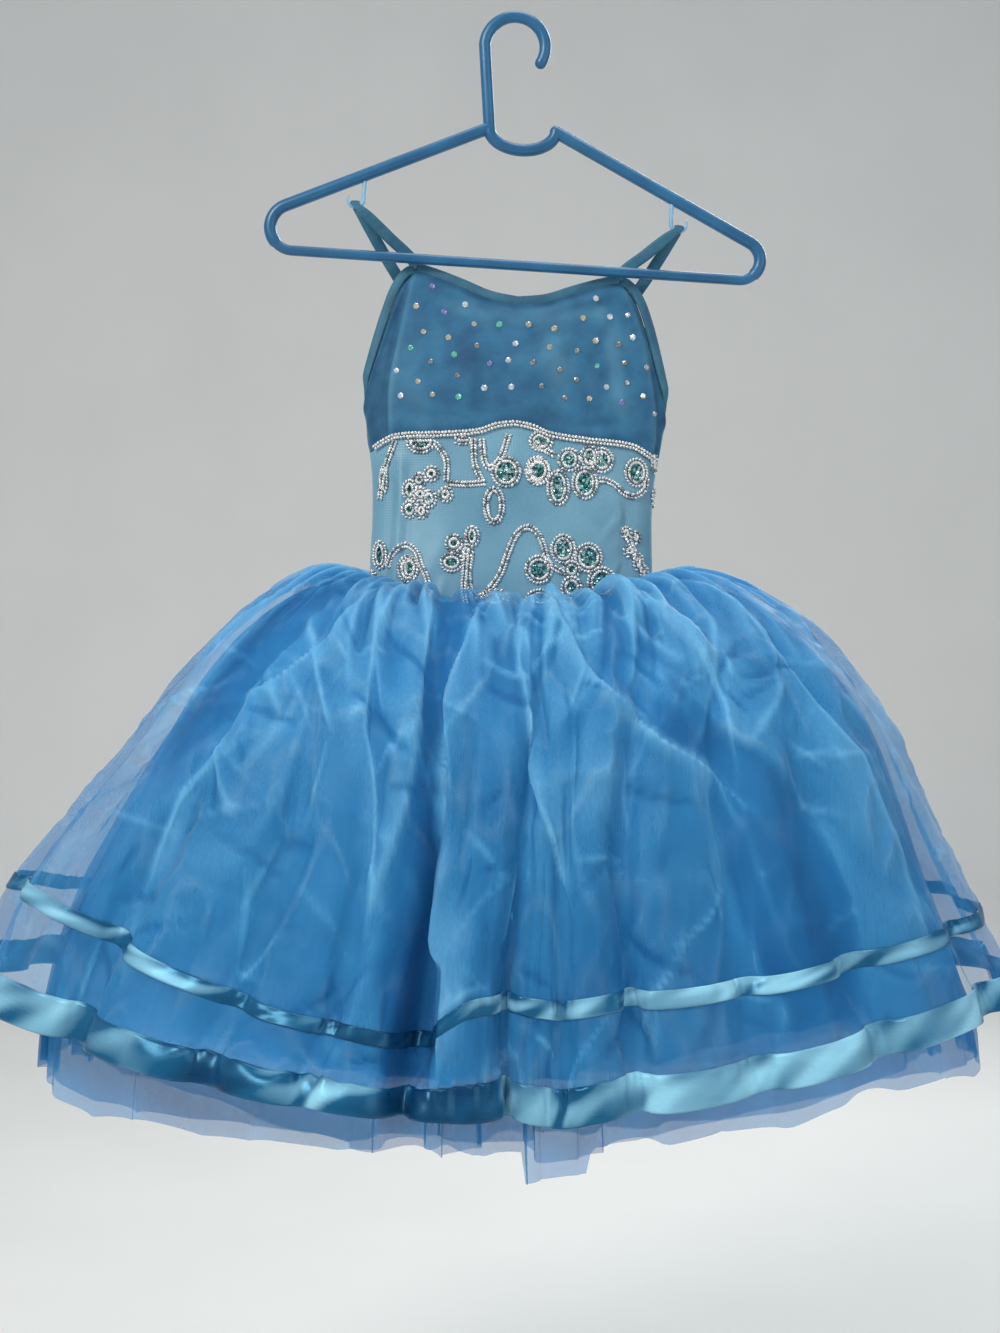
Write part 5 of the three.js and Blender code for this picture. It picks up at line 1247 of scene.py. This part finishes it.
# ---------------------------------------------------------------- light, floor and camera
def plain(name, colour, rough):
    m, b = material(name, colour, rough)
    mottled(m, b, [c * 0.97 for c in colour], colour, 3, position(m))
    return m


FLOOR = plain("pale backdrop", (0.78, 0.78, 0.75), 0.9)
FLOOR_Z, WALL_Y, ROUND = -1.30, 3.2, 0.6  # m
cove = [(y, FLOOR_Z) for y in np.linspace(-5.0, WALL_Y - ROUND, 16)]
cove += [(WALL_Y - ROUND + ROUND * math.sin(q), FLOOR_Z + ROUND - ROUND * math.cos(q))
         for q in np.linspace(0, math.pi / 2, 16)[1:]]
cove = np.array(cove + [(WALL_Y, z) for z in np.linspace(-0.6, 3.4, 8)])
P = np.stack(np.broadcast_arrays(np.linspace(-5, 5, 9)[:, None], cove[:, 0], cove[:, 1]), -1)
me = bpy.data.meshes.new("backdrop")
me.from_pydata(P.reshape(-1, 3).tolist(), [], grid_faces(9, len(cove)))
me.polygons.foreach_set("use_smooth", [True] * len(me.polygons))
me.materials.append(FLOOR)
backdrop = bpy.data.objects.new("backdrop", me)
bpy.context.scene.collection.objects.link(backdrop)


def area_light(name, at, size, power, colour):
    d = bpy.data.lights.new(name, "AREA")
    d.shape, d.size, d.size_y, d.energy, d.color = "RECTANGLE", size[0], size[1], power, colour
    o = bpy.data.objects.new(name, d)
    o.location = at
    o.rotation_euler = (Vector(AIM) - Vector(at)).to_track_quat("-Z", "Y").to_euler()
    bpy.context.scene.collection.objects.link(o)


AIM = (0, 0, -0.5)
area_light("key", (-1.7, -2.1, 1.3), (1.1, 1.1), 62, (1.0, 0.985, 0.96))
area_light("fill", (2.3, -1.9, 0.1), (1.8, 1.8), 16, (0.93, 0.97, 1.0))
area_light("top", (0.2, 0.1, 1.7), (1.6, 1.2), 22, (1.0, 1.0, 1.0))
area_light("back", (0.9, 1.9, 0.8), (1.2, 1.2), 30, (0.92, 0.97, 1.0))
world = bpy.data.worlds.new("studio")
world.use_nodes = True
sky = world.node_tree.nodes["Background"].inputs
sky["Color"].default_value, sky["Strength"].default_value = (0.80, 0.86, 0.95, 1), 0.38
scene = bpy.context.scene
scene.world = world
scene.view_settings.view_transform = "Standard"
scene.cycles.transparent_max_bounces = 16
scene.cycles.max_bounces = 4
scene.cycles.diffuse_bounces = 2
scene.cycles.glossy_bounces = 2
scene.cycles.adaptive_threshold = 0.04

cam = bpy.data.cameras.new("camera")
cam.sensor_fit, cam.sensor_height, cam.lens = "VERTICAL", 36, 48.2
camera = bpy.data.objects.new("camera", cam)
camera.location = (-0.014, -1.5, -0.541)
camera.rotation_euler = (math.pi / 2, 0, 0)
scene.collection.objects.link(camera)
scene.camera = camera
